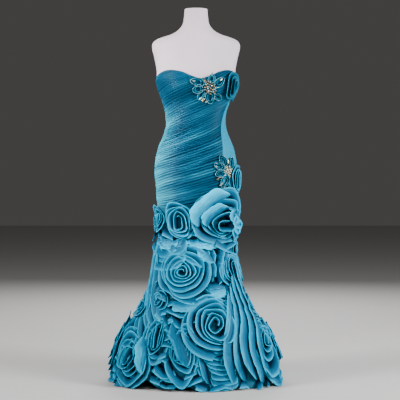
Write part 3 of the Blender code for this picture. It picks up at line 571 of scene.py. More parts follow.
def pleated_panel(name, nodes, seams, climb, bend, pitch, depth, columns, seed, material, fade):
    """A panel whose rows of points follow its lapped pleats, and stop at the neckline and the sheath's end.

    bend gives how the climb runs across the panel, and fade how flat the pleats lie by share and height.
    """
    share = np.linspace(0, 1, columns + 1)
    top = top_of_panel(share, *seams)
    lowest = SHEATH_END - climb[0].rise - PLEATS_BELOW
    count = ceil((PLEATS_TOP - lowest) / pitch)
    spread = np.random.default_rng(seed)
    widths = 1 + PLEAT_SPREAD * spread.uniform(-1, 1, count)
    starts = lowest + pitch * np.concatenate([[0], np.cumsum(widths / widths.mean())])
    strengths = PLEAT_STRENGTH * (1 + spread.uniform(0, 1, count) ** 1.5)
    rows = []
    marks = []
    for pleat in range(count):
        for point in LAPPED_PLEAT:
            start = starts[pleat] + point.share * (starts[pleat + 1] - starts[pleat])
            wander = PLEAT_WANDER * pitch * soft_noise(share * 5.0, pleat * 0.45 + 7.0, seed + 1)
            height = start + point.drop * pitch + smooth_rows(climb, start)[1] * bend(share) + wander
            height = np.clip(height, SHEATH_END, top)
            faded = fade(share, height)
            uneven = 0.86 + 0.34 * soft_noise(share * 7.0, pleat * 1.7, seed + 2)
            strength = strengths[pleat] * uneven * faded
            group = GROUP_SWELL * soft_noise(share * 2.2, start * 34.0, seed + 3)
            slack = SLACK_SWELL * soft_noise(share * 3.0 + 4.0, start * 11.0, seed + 4) * (1 - 0.5 * faded)
            near_top = np.exp(-(top - height) / EDGE_REACH)
            near_end = np.exp(-(height - SHEATH_END) / END_REACH)
            calm = seam_dip(share, PANEL_ARC) * (1 - near_top) * (1 - near_end)
            out = PANEL_FOOT + EDGE_ROLL * near_top
            out = out + calm * (point.out * depth * strength + PANEL_EASE + group + slack)
            angle = within_seams(share, height, *seams)
            rows.append(on_cloth(angle, height, np.maximum(out, LEAST_OUT)))
            # Painted shade and light: the rise drops in the pleats' hollows, painted as shade, and is raised
            # at the wearer's right side, painted as light.
            rise = 0.86 - 0.66 * (1 - point.out) * np.clip(strength, 0, 1.1) * calm
            rise = rise + 0.80 * painted_side_light(angle, height)
            marks.append(np.stack([share * PANEL_ARC, np.full_like(share, start), rise], axis=-1))
    for row, height in turned_edge(share, top, seams):
        rows.append(row)
        marks.append(np.stack([share * PANEL_ARC, height, np.full_like(share, EDGE_RISE)], axis=-1))
    points = np.array(rows)
    marks = np.array(marks)
    sides = []
    for column in (0, -1):
        inward = SIDE_TURN * unit(points[:, column] * (1, 1, 0))
        sides.append((points[:, column] - inward)[:, None])
    points = np.concatenate([sides[0], points, sides[1]], axis=1)
    marks = np.concatenate([marks[:, :1], marks, marks[:, -1:]], axis=1)
    bm = bmesh.new()
    add_grid(bm, points, marks)
    bmesh.ops.remove_doubles(bm, verts=bm.verts, dist=0.00003)
    return add_piece(bm, name, material, nodes)


def front_fade(share, height):
    """Pleats lie flatter at the right side, and under the neckline there."""
    side = FADE_LEAST + (1 - FADE_LEAST) * np.clip((share - FADE_START) / FADE_SPAN, 0, 1)
    from_peak = np.hypot((share - PEAK_SHARE) / PEAK_SPREAD[0], (height - PEAK_HEIGHT) / PEAK_SPREAD[1])
    return side * (1 - PEAK_FADE * np.exp(-from_peak ** 2))


def straight_seam(angle):
    """A seam that runs straight up at one angle."""
    return lambda height: np.full_like(np.asarray(height, float), angle)


right_side = straight_seam(-SIDE_SEAM)
left_side = straight_seam(SIDE_SEAM)
bodice_satin = satin_finish("bodice_satin", BODICE_PAINTED_SHADE, SATIN_BODICE, BODICE_PAINTED_LIGHT,
                            streaks=(7.0, 300.0), sheen=0.08, low=(1.00, 1.42), high=(1.42, 2.15),
                            bands=(3.0, 26.0), patchy=1.2)
front = pleated_panel("front_panel", ["bodice_front"], (right_side, front_left), FRONT_CLIMB,
                      lambda share: share ** FRONT_BEND, FRONT_PITCH, FRONT_DEPTH, FRONT_COLUMNS,
                      FRONT_SEED, bodice_satin, front_fade)


# Smooth strip at the wearer's left side: the same satin cut on the straight grain, from the waist down,
# with the pleats' ends caught in its front seam and a few soft drag lines.
SIDE_COLUMNS = 44
SIDE_ROWS = 190
SIDE_ARC = 0.16
SIDE_EASE = 0.0010
SIDE_DRAG = 0.0008
SIDE_RISE = 0.62
SIDE_SEED = 21
SATIN_STRIP = (0.000, 0.230, 0.390)
SATIN_STRIP_DEEP = (0.000, 0.150, 0.280)
SATIN_STRIP_PALE = (0.006, 0.330, 0.510)
seams = (front_left, left_side)
share = np.linspace(0, 1, SIDE_COLUMNS + 1)
top = top_of_panel(share, *seams)
rows = []
for up in np.linspace(0, 1, SIDE_ROWS + 1):
    height = SHEATH_END + (top - SHEATH_END) * up
    near_top = np.exp(-(top - height) / EDGE_REACH)
    drag = SIDE_DRAG * soft_noise(share * 2.4 + up * 3.0, up * 16.0, SIDE_SEED)
    out = PANEL_FOOT + seam_dip(share, SIDE_ARC) * (1 - near_top) * (SIDE_EASE + drag) + EDGE_ROLL * near_top
    rows.append((on_cloth(within_seams(share, height, *seams), height, out), height))
rows += turned_edge(share, top, seams)
marks = [np.stack([height, share * SIDE_ARC, np.full_like(share, SIDE_RISE)], axis=-1) for _, height in rows]
bm = bmesh.new()
add_grid(bm, np.array([row for row, _ in rows]), np.array(marks))
side_satin = satin_finish("side_satin", SATIN_STRIP_DEEP, SATIN_STRIP, SATIN_STRIP_PALE,
                          streaks=(7.0, 60.0), sheen=0.15)
side = add_piece(bm, "side_panel", side_satin, ["side_panel_left"])


# Two pleated back pieces of the same satin, which meet at the zip. Their pleats rise from the centre back to
# the side seams and are a little wider than the front's.
BACK_CLIMB = (Climb(0.68, 0.030), Climb(0.90, 0.055), Climb(1.10, 0.075), Climb(1.30, 0.090))
BACK_PITCH = 0.0092
BACK_DEPTH = 0.0023
BACK_COLUMNS = 84
BACK_STRENGTH = 0.85


def back_fade(share, height):
    """The back's pleats stay even."""
    return np.full_like(share, BACK_STRENGTH)


for name, seams, bend, seed in (
        ("back_panel_left", (left_side, straight_seam(180.0)), lambda share: 1 - share, 31),
        ("back_panel_right", (straight_seam(-180.0), right_side), lambda share: share, 41)):
    node = "bodice_" + name.replace("_panel", "")
    panel = pleated_panel(name, [node], seams, BACK_CLIMB, bend, BACK_PITCH, BACK_DEPTH, BACK_COLUMNS, seed,
                          bodice_satin, back_fade)


# Zip at the centre back: nickel-plated slider and pull tab from the frame, over two rows of small moulded
# teeth on a tape that is stitched under the panels' edges.
ZIP_TOP = 1.222
ZIP_END = 0.860
TOOTH_PITCH = 0.0022
TOOTH_SIZE = (0.0019, 0.0009, 0.0011)
TOOTH_EDGE = 0.0002
TOOTH_OUT = 0.0022
TOOTH_OFFSET = 0.00055
for node in ("zip_slider", "zip_tab"):
    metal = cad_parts[node].data.materials
    metal.clear()
    metal.append(steel)
bm = bmesh.new()
teeth = int((ZIP_TOP - ZIP_END) / TOOTH_PITCH)
for index in range(2 * teeth):
    height = ZIP_END + 0.5 * index * TOOTH_PITCH
    seat = figure(np.array(180.0), np.array(height))
    place = Vector((-TOOTH_OFFSET if index % 2 else TOOTH_OFFSET, seat[1] + TOOTH_OUT, height))
    made = bmesh.ops.create_cube(bm, size=1.0)["verts"]
    bmesh.ops.scale(bm, verts=made, vec=TOOTH_SIZE)
    bmesh.ops.translate(bm, verts=made, vec=place)
bmesh.ops.bevel(bm, geom=list(bm.edges), offset=TOOTH_EDGE, offset_type="OFFSET", segments=1, profile=0.5,
                affect="EDGES", material=-1)
add_piece(bm, "zip_teeth", steel, smooth=False)


# Skirt that the rosettes are sewn to: a flared front and a back with the train, in the same teal satin. Only
# its hem and slits between the rosettes show, and it is darkened all over as painted shade. Its hem hangs in
# soft folds.
SKIRT_WALL = 0.0020
SKIRT_ROWS = 90
SKIRT_FRONT_COLUMNS = 130
SKIRT_BACK_COLUMNS = 150
SKIRT_CROWDING = 1.3
SIDE_GAP = 0.05
FLOOR_GAP = 0.0003
HemLift = namedtuple("HemLift", "angle spread height")
HEM_LIFTS = (HemLift(-42, 11, 0.045), HemLift(-11, 9, 0.028), HemLift(33, 7, 0.012))
SKIRT_RISE = 0.4
# Both skirt colours are painted shade: the teal cloth is darkened all over, since only slits show.
SKIRT_PAINTED_SHADE_DEEP = (0.004, 0.060, 0.120)
SKIRT_PAINTED_SHADE = (0.012, 0.120, 0.200)


def hem_height(angle):
    """How far the hem is lifted off the floor by the rosettes' weight and the body of the cloth."""
    return FLOOR_GAP + sum(
        lift.height * np.exp(-((angle - lift.angle) / lift.spread) ** 2) for lift in HEM_LIFTS)


skirt_satin_painted_shade = satin_finish("skirt_satin_painted_shade", SKIRT_PAINTED_SHADE_DEEP, SKIRT_PAINTED_SHADE, SKIRT_PAINTED_SHADE, sheen=0.1)
for name, node, first, last, columns, flat, area in (
        ("skirt_front_cloth", "skirt_front", -SIDE_SEAM, SIDE_SEAM, SKIRT_FRONT_COLUMNS, (0.80, 0.78), 0.44),
        ("skirt_back_cloth", "skirt_back", SIDE_SEAM, 360 - SIDE_SEAM, SKIRT_BACK_COLUMNS, (1.30, 1.00),
         0.83)):
    angle, up = np.meshgrid(np.linspace(first + SIDE_GAP, last - SIDE_GAP, columns),
                            np.linspace(0, 1, SKIRT_ROWS) ** SKIRT_CROWDING)
    low = hem_height(turn_from(0, angle))
    height = low + (SHEATH_END - SEAM_GAP - low) * up
    points = on_cloth(angle, height, 0.5 * SKIRT_WALL)
    points[..., 2] = np.maximum(points[..., 2], FLOOR_GAP)
    marks = np.stack([height, np.radians(angle) * 0.2, np.full_like(height, SKIRT_RISE)], axis=-1)
    bm = bmesh.new()
    add_grid(bm, points, marks)
    skirt = add_piece(bm, name, skirt_satin_painted_shade, [node])


# Rosettes: long bias strips of the same satin, folded double lengthwise, coiled on edge and sewn down along
# their raw edges. Each turn leans outwards like a petal over the foot of the next one, with pinched corners.
Rosette = namedtuple(
    "Rosette", "angle height across up turns leaves corners roundness heart_x heart_y slit slit_turn petal",
    defaults=(5, 0.5, 0.0, 0.0, 0.0, 90.0, 1.0))
Fold = namedtuple("Fold", "angle height")
Strip = namedtuple("Strip", "name nodes start folds end", defaults=((), None))
STRIPS = (
    Strip("hip_right", ["rosettes_hip_right"],
          Rosette(-68, 0.690, 0.039, 0.055, 3.2, -90, 4, 0.5, 0, 0, 0.018, 70),
          (Fold(-56, 0.628), Fold(-46, 0.606), Fold(-36, 0.604)),
          Rosette(-25.5, 0.682, 0.056, 0.066, 4.6, -90, 5, 0.7, 0.002, 0.002, 0.022, 90)),
    Strip("hip_left", ["rosettes_hip_left"],
          Rosette(38.5, 0.696, 0.096, 0.092, 4.6, -60, 5, 0.45, 0.010, -0.026, 0.012, 10, 1.5),
          (Fold(74, 0.610), Fold(92, 0.596), Fold(106, 0.602)),
          Rosette(121, 0.675, 0.069, 0.071, 4.6, -90, 5, 0.5, 0, 0, 0.010, 60)),
    Strip("hip_back", ["rosettes_hip_back"],
          Rosette(-174, 0.678, 0.082, 0.077, 5.0, -90, 6, 0.6, 0, 0.005, 0.010, 30),
          (Fold(-158, 0.602), Fold(-142, 0.598), Fold(-130, 0.606)),
          Rosette(-115.5, 0.676, 0.056, 0.071, 4.4, -90, 5, 0.6, 0, 0, 0.018, 100)),
    Strip("knee_front", ["rosettes_knee_front"],
          Rosette(-21, 0.466, 0.100, 0.118, 6.8, -62, 4, 0.75, 0.004, 0.006, 0, 90, 1.3),
          (Fold(4, 0.358), Fold(16, 0.366), Fold(30, 0.362), Fold(46, 0.372)),
          Rosette(60, 0.480, 0.062, 0.100, 5.2, -100, 4, 0.7, 0, 0, 0.030, 95)),
    Strip("knee_back_right", ["rosettes_knee_back_right"],
          Rosette(-160.5, 0.470, 0.068, 0.100, 5.2, -90),
          (Fold(-152, 0.340), Fold(-130, 0.330), Fold(-112, 0.320), Fold(-106, 0.366)),
          Rosette(-112, 0.470, 0.066, 0.098, 5.2, -70, 5, 0.7, 0, 0, 0.026, 80)),
    Strip("knee_back_left", ["rosettes_knee_back_left"],
          Rosette(110, 0.470, 0.066, 0.098, 5.2, -110, 5, 0.7, 0, 0, 0.020, 80),
          (Fold(108, 0.330), Fold(126, 0.320), Fold(142, 0.330), Fold(146, 0.340)),
          Rosette(154.5, 0.470, 0.066, 0.100, 5.2, -90)),
    Strip("hem_front", ["rosette_hem_front"],
          Rosette(16.5, 0.252, 0.090, 0.102, 5.8, -100, 5, 0.7, 0, 0.008, 0.010, 60),
          (Fold(22, 0.130), Fold(20, 0.100))),
    Strip("hem_right", ["rosettes_hem_right"],
          Rosette(-33, 0.198, 0.040, 0.130, 4.4, -70, 4, 0.5, 0, 0.010, 0.052, 96),
          (Fold(-25, 0.038), Fold(-20, 0.022)),
          Rosette(-10.5, 0.160, 0.052, 0.118, 5.4, -100, 4, 0.5, 0.004, -0.004, 0.030, 70)),
    Strip("train_right", ["rosettes_train_right"],
          Rosette(-97, 0.158, 0.107, 0.124, 6.4, -90, 6),
          (Fold(-88, 0.036), Fold(-76, 0.034), Fold(-66, 0.040)),
          Rosette(-55, 0.120, 0.076, 0.098, 5.2, -90, 5, 0.7, 0.010, 0, 0.024, 65)),
    Strip("train_left", ["rosettes_train_left"],
          Rosette(66, 0.165, 0.070, 0.110, 5.0, -90, 5, 0.3, 0, 0.020, 0.010, 60),
          (Fold(76, 0.050), Fold(86, 0.040), Fold(96, 0.042)),
          Rosette(104, 0.160, 0.112, 0.124, 6.4, -90)),
    Strip("train_back_right", ["rosettes_train_back_right"],
          Rosette(-150, 0.262, 0.095, 0.100, 5.8, 180),
          (Fold(-174, 0.190), Fold(-176, 0.150), Fold(-178, 0.110)),
          Rosette(-160, 0.080, 0.118, 0.105, 6.2, 180, 6, 0.8, 0, 0, 0.020, 20)),
    Strip("train_back_left", ["rosettes_train_back_left"],
          Rosette(150, 0.262, 0.095, 0.100, 5.8, 180, 6, 0.7, 0, 0, 0.020, 110),
          (Fold(136, 0.170), Fold(132, 0.120), Fold(136, 0.080)),
          Rosette(160, 0.080, 0.118, 0.105, 6.2, 180)),
    Strip("side_right", [], Rosette(-80, 0.500, 0.058, 0.078, 4.6, -90, 5, 0.6, 0, 0, 0.020, 80)),
    Strip("low_front", [], Rosette(-47, 0.350, 0.044, 0.052, 3.4, -90, 4, 0.4, 0, 0, 0.012, 70)),
    Strip("side_left", [], Rosette(86, 0.560, 0.050, 0.060, 4.0, -90)),
    Strip("low_right", [], Rosette(-80, 0.315, 0.074, 0.088, 5.0, -90)),
    Strip("low_left", [], Rosette(88, 0.320, 0.066, 0.086, 5.0, -90, 4)),
    Strip("back_right", [], Rosette(-124, 0.292, 0.078, 0.082, 4.8, -90, 4, 0.8)),
    Strip("back_left", [], Rosette(124, 0.292, 0.078, 0.082, 4.8, -90)),
    Strip("back_middle", [], Rosette(180, 0.340, 0.074, 0.090, 5.0, -90, 5, 0.7, 0, 0, 0.030, 90)),
    Strip("train_middle", [], Rosette(180, 0.165, 0.085, 0.090, 5.2, -90, 6)),
    Strip("train_end_right", [], Rosette(-138, 0.095, 0.078, 0.110, 5.0, -90)),
    Strip("train_end_left", [], Rosette(138, 0.095, 0.078, 0.110, 5.0, -90, 4, 0.8)),
    Strip("train_hem_right", [], Rosette(-171, 0.030, 0.060, 0.062, 3.8, -90)),
    Strip("train_hem_left", [], Rosette(171, 0.030, 0.060, 0.062, 3.8, -90)),
)
ALL_ROSETTES = [rosette for strip in STRIPS for rosette in (strip.start, strip.end) if rosette]
# How the coils press on their neighbours, and how uneven their corners and layers are.
NEIGHBOUR_REACH = 0.4
LEAST_COSINE = 0.05
CELL_SHARPNESS = 7
CELL_LEAST = 0.82
CELL_MOST = 1.35
CORNER_SPREAD = 0.20
CORNER_DRIFT = 0.045
CORNER_JITTER = 0.010
CORNER_REACH = 1.04
CORNER_SOFTNESS = 1.7
SIDE_SPREAD = 0.06
REACH_JITTER = 0.022
LAYER_SPREAD = (0.60, 1.45)
TURNS_BEYOND = 0.6
SAMPLES_A_TURN = 96
HEART_SHARE = 0.07
LEAST_SHARE = 0.02
SLIT_SHARPNESS = 2.5
RIM_ROUNDNESS = 0.25
ROUNDNESS_LOSS = 0.60
# How the strip's width and lean follow its place in the coil and the room there.
PETAL_LEAN = 0.026
PETAL_LEAN_SHARE = 0.42
PETAL_LEAST = 0.021
PETAL_SPREAD = 1.35
PETAL_WIDTHS = (0.026, 0.080)
HEART_TILTS = (2.0, 18.0)
ADDED_TILTS = (28.0, 68.0)
FULL_ROSETTE = 0.062
FOLD_REACH = 0.55
FOLD_PITCH = 0.014
FOLD_WIDTH = 0.7
COIL_SEED = 100
STRIP_SEED = 3
# The folded strip itself: its steps, walls, crinkles and curl, and the rows of points across it.
RIBBON_STEP = 0.0043
RIBBON_LEAST = 8
RIBBON_WALL = 0.0007
RIM_ROUNDING = 0.0012
FOOT_OUT = 0.0026
LOWEST = 0.0030
LOWEST_RISE = 0.0004
RIPPLE = 0.0011
RIPPLE_WAVES = 62.0
FOOT_WAVES = 150.0
WANDER = 9.0
WANDER_WAVES = (16.0, 55.0)
WIDTH_SPREAD = 0.07
WIDTH_WAVES = 13.0
CURL_START = 0.12
CURL_SPAN = 0.80
PROFILE_STEPS = 24
FACE_SHARES = (0.0, 0.16, 0.32, 0.46, 0.58, 0.69, 0.79, 0.88, 0.955)
BACK_SHARES = (0.955, 0.80, 0.60, 0.36, 0.0)
RIM_TURNS = (30.0, 65.0, 115.0, 150.0)
RIM_RISE = 1.05
BACK_RISE = 0.8
MARK_SHIFT = 0.37
# Rosette satin: the pocket colour is painted shade at the strips' feet and between turns, the pale colour a
# painted highlight on their rims.
SATIN_FACE = (0.000, 0.138, 0.275)
ROSETTE_PAINTED_HIGHLIGHT = (0.000, 0.620, 0.980)
ROSETTE_PAINTED_SHADE = (0.000, 0.009, 0.036)


def oval(rosette, direction):
    """How far a rosette's own oval reaches in a direction, in radians."""
    return 1 / np.hypot(np.cos(direction) / rosette.across, np.sin(direction) / rosette.up)


def room_around(rosette, direction):
    """How far a rosette spreads in each direction before it meets its neighbours, which shape its outline."""
    width, rise = metres(rosette.angle, np.array(rosette.height))
    own = oval(rosette, direction)
    squeezed = (CELL_MOST * own) ** -CELL_SHARPNESS
    for other in ALL_ROSETTES:
        across = turn_from(rosette.angle, other.angle) * width
        up = (other.height - rosette.height) * rise
        distance = np.hypot(across, up)
        if 0.0 < distance < NEIGHBOUR_REACH:
            toward = np.arctan2(up, across)
            mine = oval(rosette, toward)
            theirs = oval(other, toward + pi)
            reach = distance * mine / (mine + theirs) / np.maximum(np.cos(direction - toward), LEAST_COSINE)
            squeezed = squeezed + reach ** -CELL_SHARPNESS
    return np.clip(squeezed ** (-1 / CELL_SHARPNESS), CELL_LEAST * own, CELL_MOST * own)


def interpolated(at, knots, rows):
    """Rows of values at places between the knots that the given rows stand at."""
    return np.stack([np.interp(at, knots, column) for column in rows.T], axis=-1)


def smoothed(values, spread):
    """Values evened out along their first axis by a bell of a given spread, in samples."""
    reach = int(3 * spread) + 1
    bell = np.exp(-0.5 * (np.arange(-reach, reach + 1) / spread) ** 2)
    bell /= bell.sum()
    before = 2 * values[:1] - values[reach:0:-1]
    after = 2 * values[-1:] - values[-2:-reach - 2:-1]
    padded = np.concatenate([before, values, after])
    return np.stack([np.convolve(column, bell, "valid") for column in padded.T], axis=-1)


def rosette_path(rosette, seed, way):
    """Angle, height, reach, pitch, and lean across and up, of a coil from its rim to its heart.

    The reach is 1 at the rim and 0 at the heart. The coil runs anticlockwise for a way of 1.
    """
    spread = np.random.default_rng(seed)
    count = rosette.corners
    total = ceil((rosette.turns + TURNS_BEYOND) * count)
    number = np.arange(total) % count
    places = (np.arange(count) + CORNER_SPREAD * spread.uniform(-1, 1, count)) / count
    lengths = 1 + SIDE_SPREAD * spread.uniform(-1, 1, count)
    corners = places[number] + (np.arange(total) // count) * (1 + CORNER_DRIFT)
    corners = corners - places[0] + CORNER_JITTER * spread.uniform(-1, 1, total)
    corners[0] = 0.0
    uneven = CORNER_REACH * lengths[number] * (1 + REACH_JITTER * spread.uniform(-1, 1, total))
    gaps = spread.uniform(*LAYER_SPREAD, ceil(rosette.turns) + 2)
    gaps[0] *= rosette.petal
    layers = np.cumsum(np.concatenate([[0.0], gaps]))
    turns = np.arange(len(layers))
    whole = np.interp(rosette.turns, turns, layers)
    share = 1 - (1 - HEART_SHARE) * np.interp(corners, turns, layers) / whole
    direction = np.radians(rosette.leaves) + way * 2 * pi * corners
    petal = min(PETAL_LEAN, PETAL_LEAN_SHARE * min(rosette.across, rosette.up))
    reach = (room_around(rosette, direction) - petal) * np.maximum(share, LEAST_SHARE) * uneven
    slit_turn = radians(rosette.slit_turn)
    axis = np.array([np.cos(slit_turn), np.sin(slit_turn)])
    heart = np.array([rosette.heart_x, rosette.heart_y])

    def placed(reach, direction, inward):
        """Metres across and up, drawn to the heart or the slit in it by a share."""
        aim = np.stack([np.cos(direction), np.sin(direction)], axis=-1)
        slit = rosette.slit * np.tanh(SLIT_SHARPNESS * np.cos(direction - slit_turn))[:, None] * axis
        return reach[:, None] * aim + inward[:, None] * (heart + slit)

    lay = np.stack([reach, direction, np.clip(1 - share, 0, 1)], axis=-1)
    turned = np.linspace(0, rosette.turns, int(rosette.turns * SAMPLES_A_TURN))
    straight = interpolated(turned, corners, placed(*lay.T))
    bent = placed(*interpolated(turned, corners, lay).T)
    gone = turned / rosette.turns
    rounded = np.clip(rosette.roundness + RIM_ROUNDNESS - ROUNDNESS_LOSS * gone, 0, 1)[:, None]
    run = smoothed(straight * (1 - rounded) + bent * rounded, CORNER_SOFTNESS)
    from_heart = run - gone[:, None] * heart
    along_slit = np.clip(from_heart @ axis, -rosette.slit * gone, rosette.slit * gone)
    lean = unit(from_heart - along_slit[:, None] * axis)
    pitch = np.linalg.norm(run[:-SAMPLES_A_TURN] - run[SAMPLES_A_TURN:], axis=-1)
    pitch = np.concatenate([pitch, np.full(SAMPLES_A_TURN, pitch[-1])])
    width, rise = metres(rosette.angle, np.array(rosette.height))
    angle = rosette.angle + run[:, 0] / width
    height = rosette.height + run[:, 1] / rise
    return np.stack([angle, height, 1 - gone, pitch, lean[:, 0], lean[:, 1]], axis=-1)


def right_of(path):
    """Directions across and up, square to a path of angles and heights, towards its right side."""
    run = np.gradient(path, axis=0) * np.stack(metres(path[:, 0], path[:, 1]), axis=-1)
    return unit(np.stack([run[:, 1], -run[:, 0]], axis=-1))


def run_along(points):
    """Metres from the first point of a line to each of its points."""
    return np.concatenate([[0.0], np.cumsum(np.linalg.norm(np.diff(points, axis=0), axis=1))])


def ribbon(path, lean, width, tilt_foot, tilt_rim, seed, foot=FOOT_OUT, ripple=RIPPLE, wander=WANDER,
           step=RIBBON_STEP):
    """Points and cloth marks of a folded strip that stands on its raw edges along a path, and its size.

    The path is angles and heights. The strip leans across and up as lean says, by tilts in degrees from
    upright at its foot and at its rim. The size is its length half way up and its mean width.
    """
    run = run_along(on_cloth(path[:, 0], path[:, 1], 0.0))
    count = max(RIBBON_LEAST, int(run[-1] / step))
    even = np.linspace(0, run[-1], count)
    path = interpolated(even, run, path)
    lean = interpolated(even, run, lean)
    width, tilt_foot, tilt_rim, foot = [np.interp(even, run, np.broadcast_to(value, run.shape))
                                        for value in (width, tilt_foot, tilt_rim, foot)]
    feet = on_cloth(path[:, 0], path[:, 1], foot)
    around, upward = slopes(path[:, 0], path[:, 1])
    facing = unit(np.cross(around, upward))
    sideways = unit(unit(around) * lean[:, :1] + unit(upward) * lean[:, 1:])
    waves = (soft_noise(even * WANDER_WAVES[0], 0.5, seed)
             + 0.5 * soft_noise(even * WANDER_WAVES[1], 2.5, seed))
    tilt_rim = tilt_rim + wander * waves
    width = width * (1 + WIDTH_SPREAD * soft_noise(even * WIDTH_WAVES, 5.5, seed))
    shares = np.linspace(0, 1, PROFILE_STEPS + 1)
    curl = np.clip((shares - CURL_START) / CURL_SPAN, 0, 1)
    curl = curl * curl * (3 - 2 * curl)
    tilts = np.radians(tilt_foot[:, None] + (tilt_rim - tilt_foot)[:, None] * curl)
    steps = width[:, None] / PROFILE_STEPS
    over = np.concatenate([np.zeros((count, 1)), np.cumsum(np.sin(tilts[:, 1:]) * steps, axis=1)], axis=1)
    out = np.concatenate([np.zeros((count, 1)), np.cumsum(np.cos(tilts[:, 1:]) * steps, axis=1)], axis=1)

    def row(share, spin):
        """Points at a share of the way up the strip, turned round its wall: 0 on its face, 180 behind."""
        at = share * PROFILE_STEPS
        low = int(at)
        part = at - low
        high = min(low + 1, PROFILE_STEPS)
        tilt = tilts[:, low] * (1 - part) + tilts[:, high] * part
        half = RIBBON_WALL + (RIM_ROUNDING - RIBBON_WALL) * share ** 4
        puff = ripple * (0.35 + 0.65 * share) * soft_noise(even * RIPPLE_WAVES, share * 1.6 + 0.4, seed + 3)
        puff = puff + 0.7 * ripple * (1 - share) * soft_noise(even * FOOT_WAVES, share * 1.1, seed + 4)
        off = np.radians(spin)
        across_wall = half * np.cos(off) + puff
        along_wall = half * np.sin(off)
        side_part = over[:, low] * (1 - part) + over[:, high] * part
        out_part = out[:, low] * (1 - part) + out[:, high] * part
        side_part = side_part - np.cos(tilt) * across_wall + np.sin(tilt) * along_wall
        out_part = out_part + np.sin(tilt) * across_wall + np.cos(tilt) * along_wall
        points = feet + sideways * side_part[:, None] + facing * out_part[:, None]
        points[:, 2] = np.maximum(points[:, 2], LOWEST + LOWEST_RISE * share)
        return points

    rows = [row(share, 0.0) for share in FACE_SHARES]
    rows += [row(1.0, spin) for spin in RIM_TURNS]
    rows += [row(share, 180.0) for share in BACK_SHARES]
    # The rises paint shade and light: darkest at the strip's foot and behind it, as painted shade, palest at
    # the rim, as a painted highlight.
    rises = list(FACE_SHARES) + [RIM_RISE] * len(RIM_TURNS) + [BACK_RISE * share for share in BACK_SHARES]
    acrosses = list(FACE_SHARES) + [1.0] * len(RIM_TURNS) + [2 - share for share in BACK_SHARES]
    points = np.array(rows[::-1])
    marks = np.array([np.stack([even + seed * MARK_SHIFT, across * width, np.full(count, rise)], axis=-1)
                      for across, rise in zip(acrosses, rises)][::-1])
    middle = 0.5 * (rows[len(FACE_SHARES) // 2] + rows[0])
    length = np.linalg.norm(np.diff(middle, axis=0), axis=1).sum()
    return points, marks, float(length), float(width.mean())


def petal_lay(reach, pitch, small):
    """Width and tilts of a rosette's strip: upright at the heart, and wide and leaning out at the rim."""
    reach = np.clip(reach, 0, 1)
    width = small * np.clip(PETAL_LEAST + PETAL_SPREAD * pitch, *PETAL_WIDTHS)
    tilt_foot = HEART_TILTS[0] + ADDED_TILTS[0] * reach ** 1.3
    tilt_rim = HEART_TILTS[1] + ADDED_TILTS[1] * reach ** 0.8
    return width, tilt_foot, tilt_rim


def width_share(rosette, samples):
    """How wide the strip of a rosette is beside a full one's, as many times as it has samples."""
    return np.full(samples, min(1.0, min(rosette.across, rosette.up) / FULL_ROSETTE))


rosette_satin = satin_finish("rosette_satin", ROSETTE_PAINTED_SHADE, SATIN_FACE, ROSETTE_PAINTED_HIGHLIGHT, streaks=(22.0, 160.0),
                             sheen=0.12, low=(0.48, 0.90), high=(0.88, 1.18))
for number, strip in enumerate(STRIPS):
    path = [rosette_path(strip.start, COIL_SEED + 2 * number, -1)[::-1]]
    small = [width_share(strip.start, len(path[0]))]
    if strip.folds:
        folds = np.array(strip.folds, float)
        lay = np.tile((FOLD_REACH, FOLD_PITCH), (len(folds), 1))
        path.append(np.concatenate([folds, lay, right_of(folds)], axis=1))
        small.append(np.full(len(folds), FOLD_WIDTH))
    if strip.end:
        path.append(rosette_path(strip.end, COIL_SEED + 2 * number + 1, 1))
        small.append(width_share(strip.end, len(path[-1])))
    path = np.concatenate(path)
    width, tilt_foot, tilt_rim = petal_lay(path[:, 2], path[:, 3], np.concatenate(small))
    points, marks, length, mean_width = ribbon(
        path[:, :2], path[:, 4:], width, tilt_foot, tilt_rim, STRIP_SEED + 7 * number)
    bm = bmesh.new()
    add_grid(bm, points, marks)
    piece = add_piece(bm, "strip_" + strip.name, rosette_satin, strip.nodes)
    round(2 * mean_width, 3)


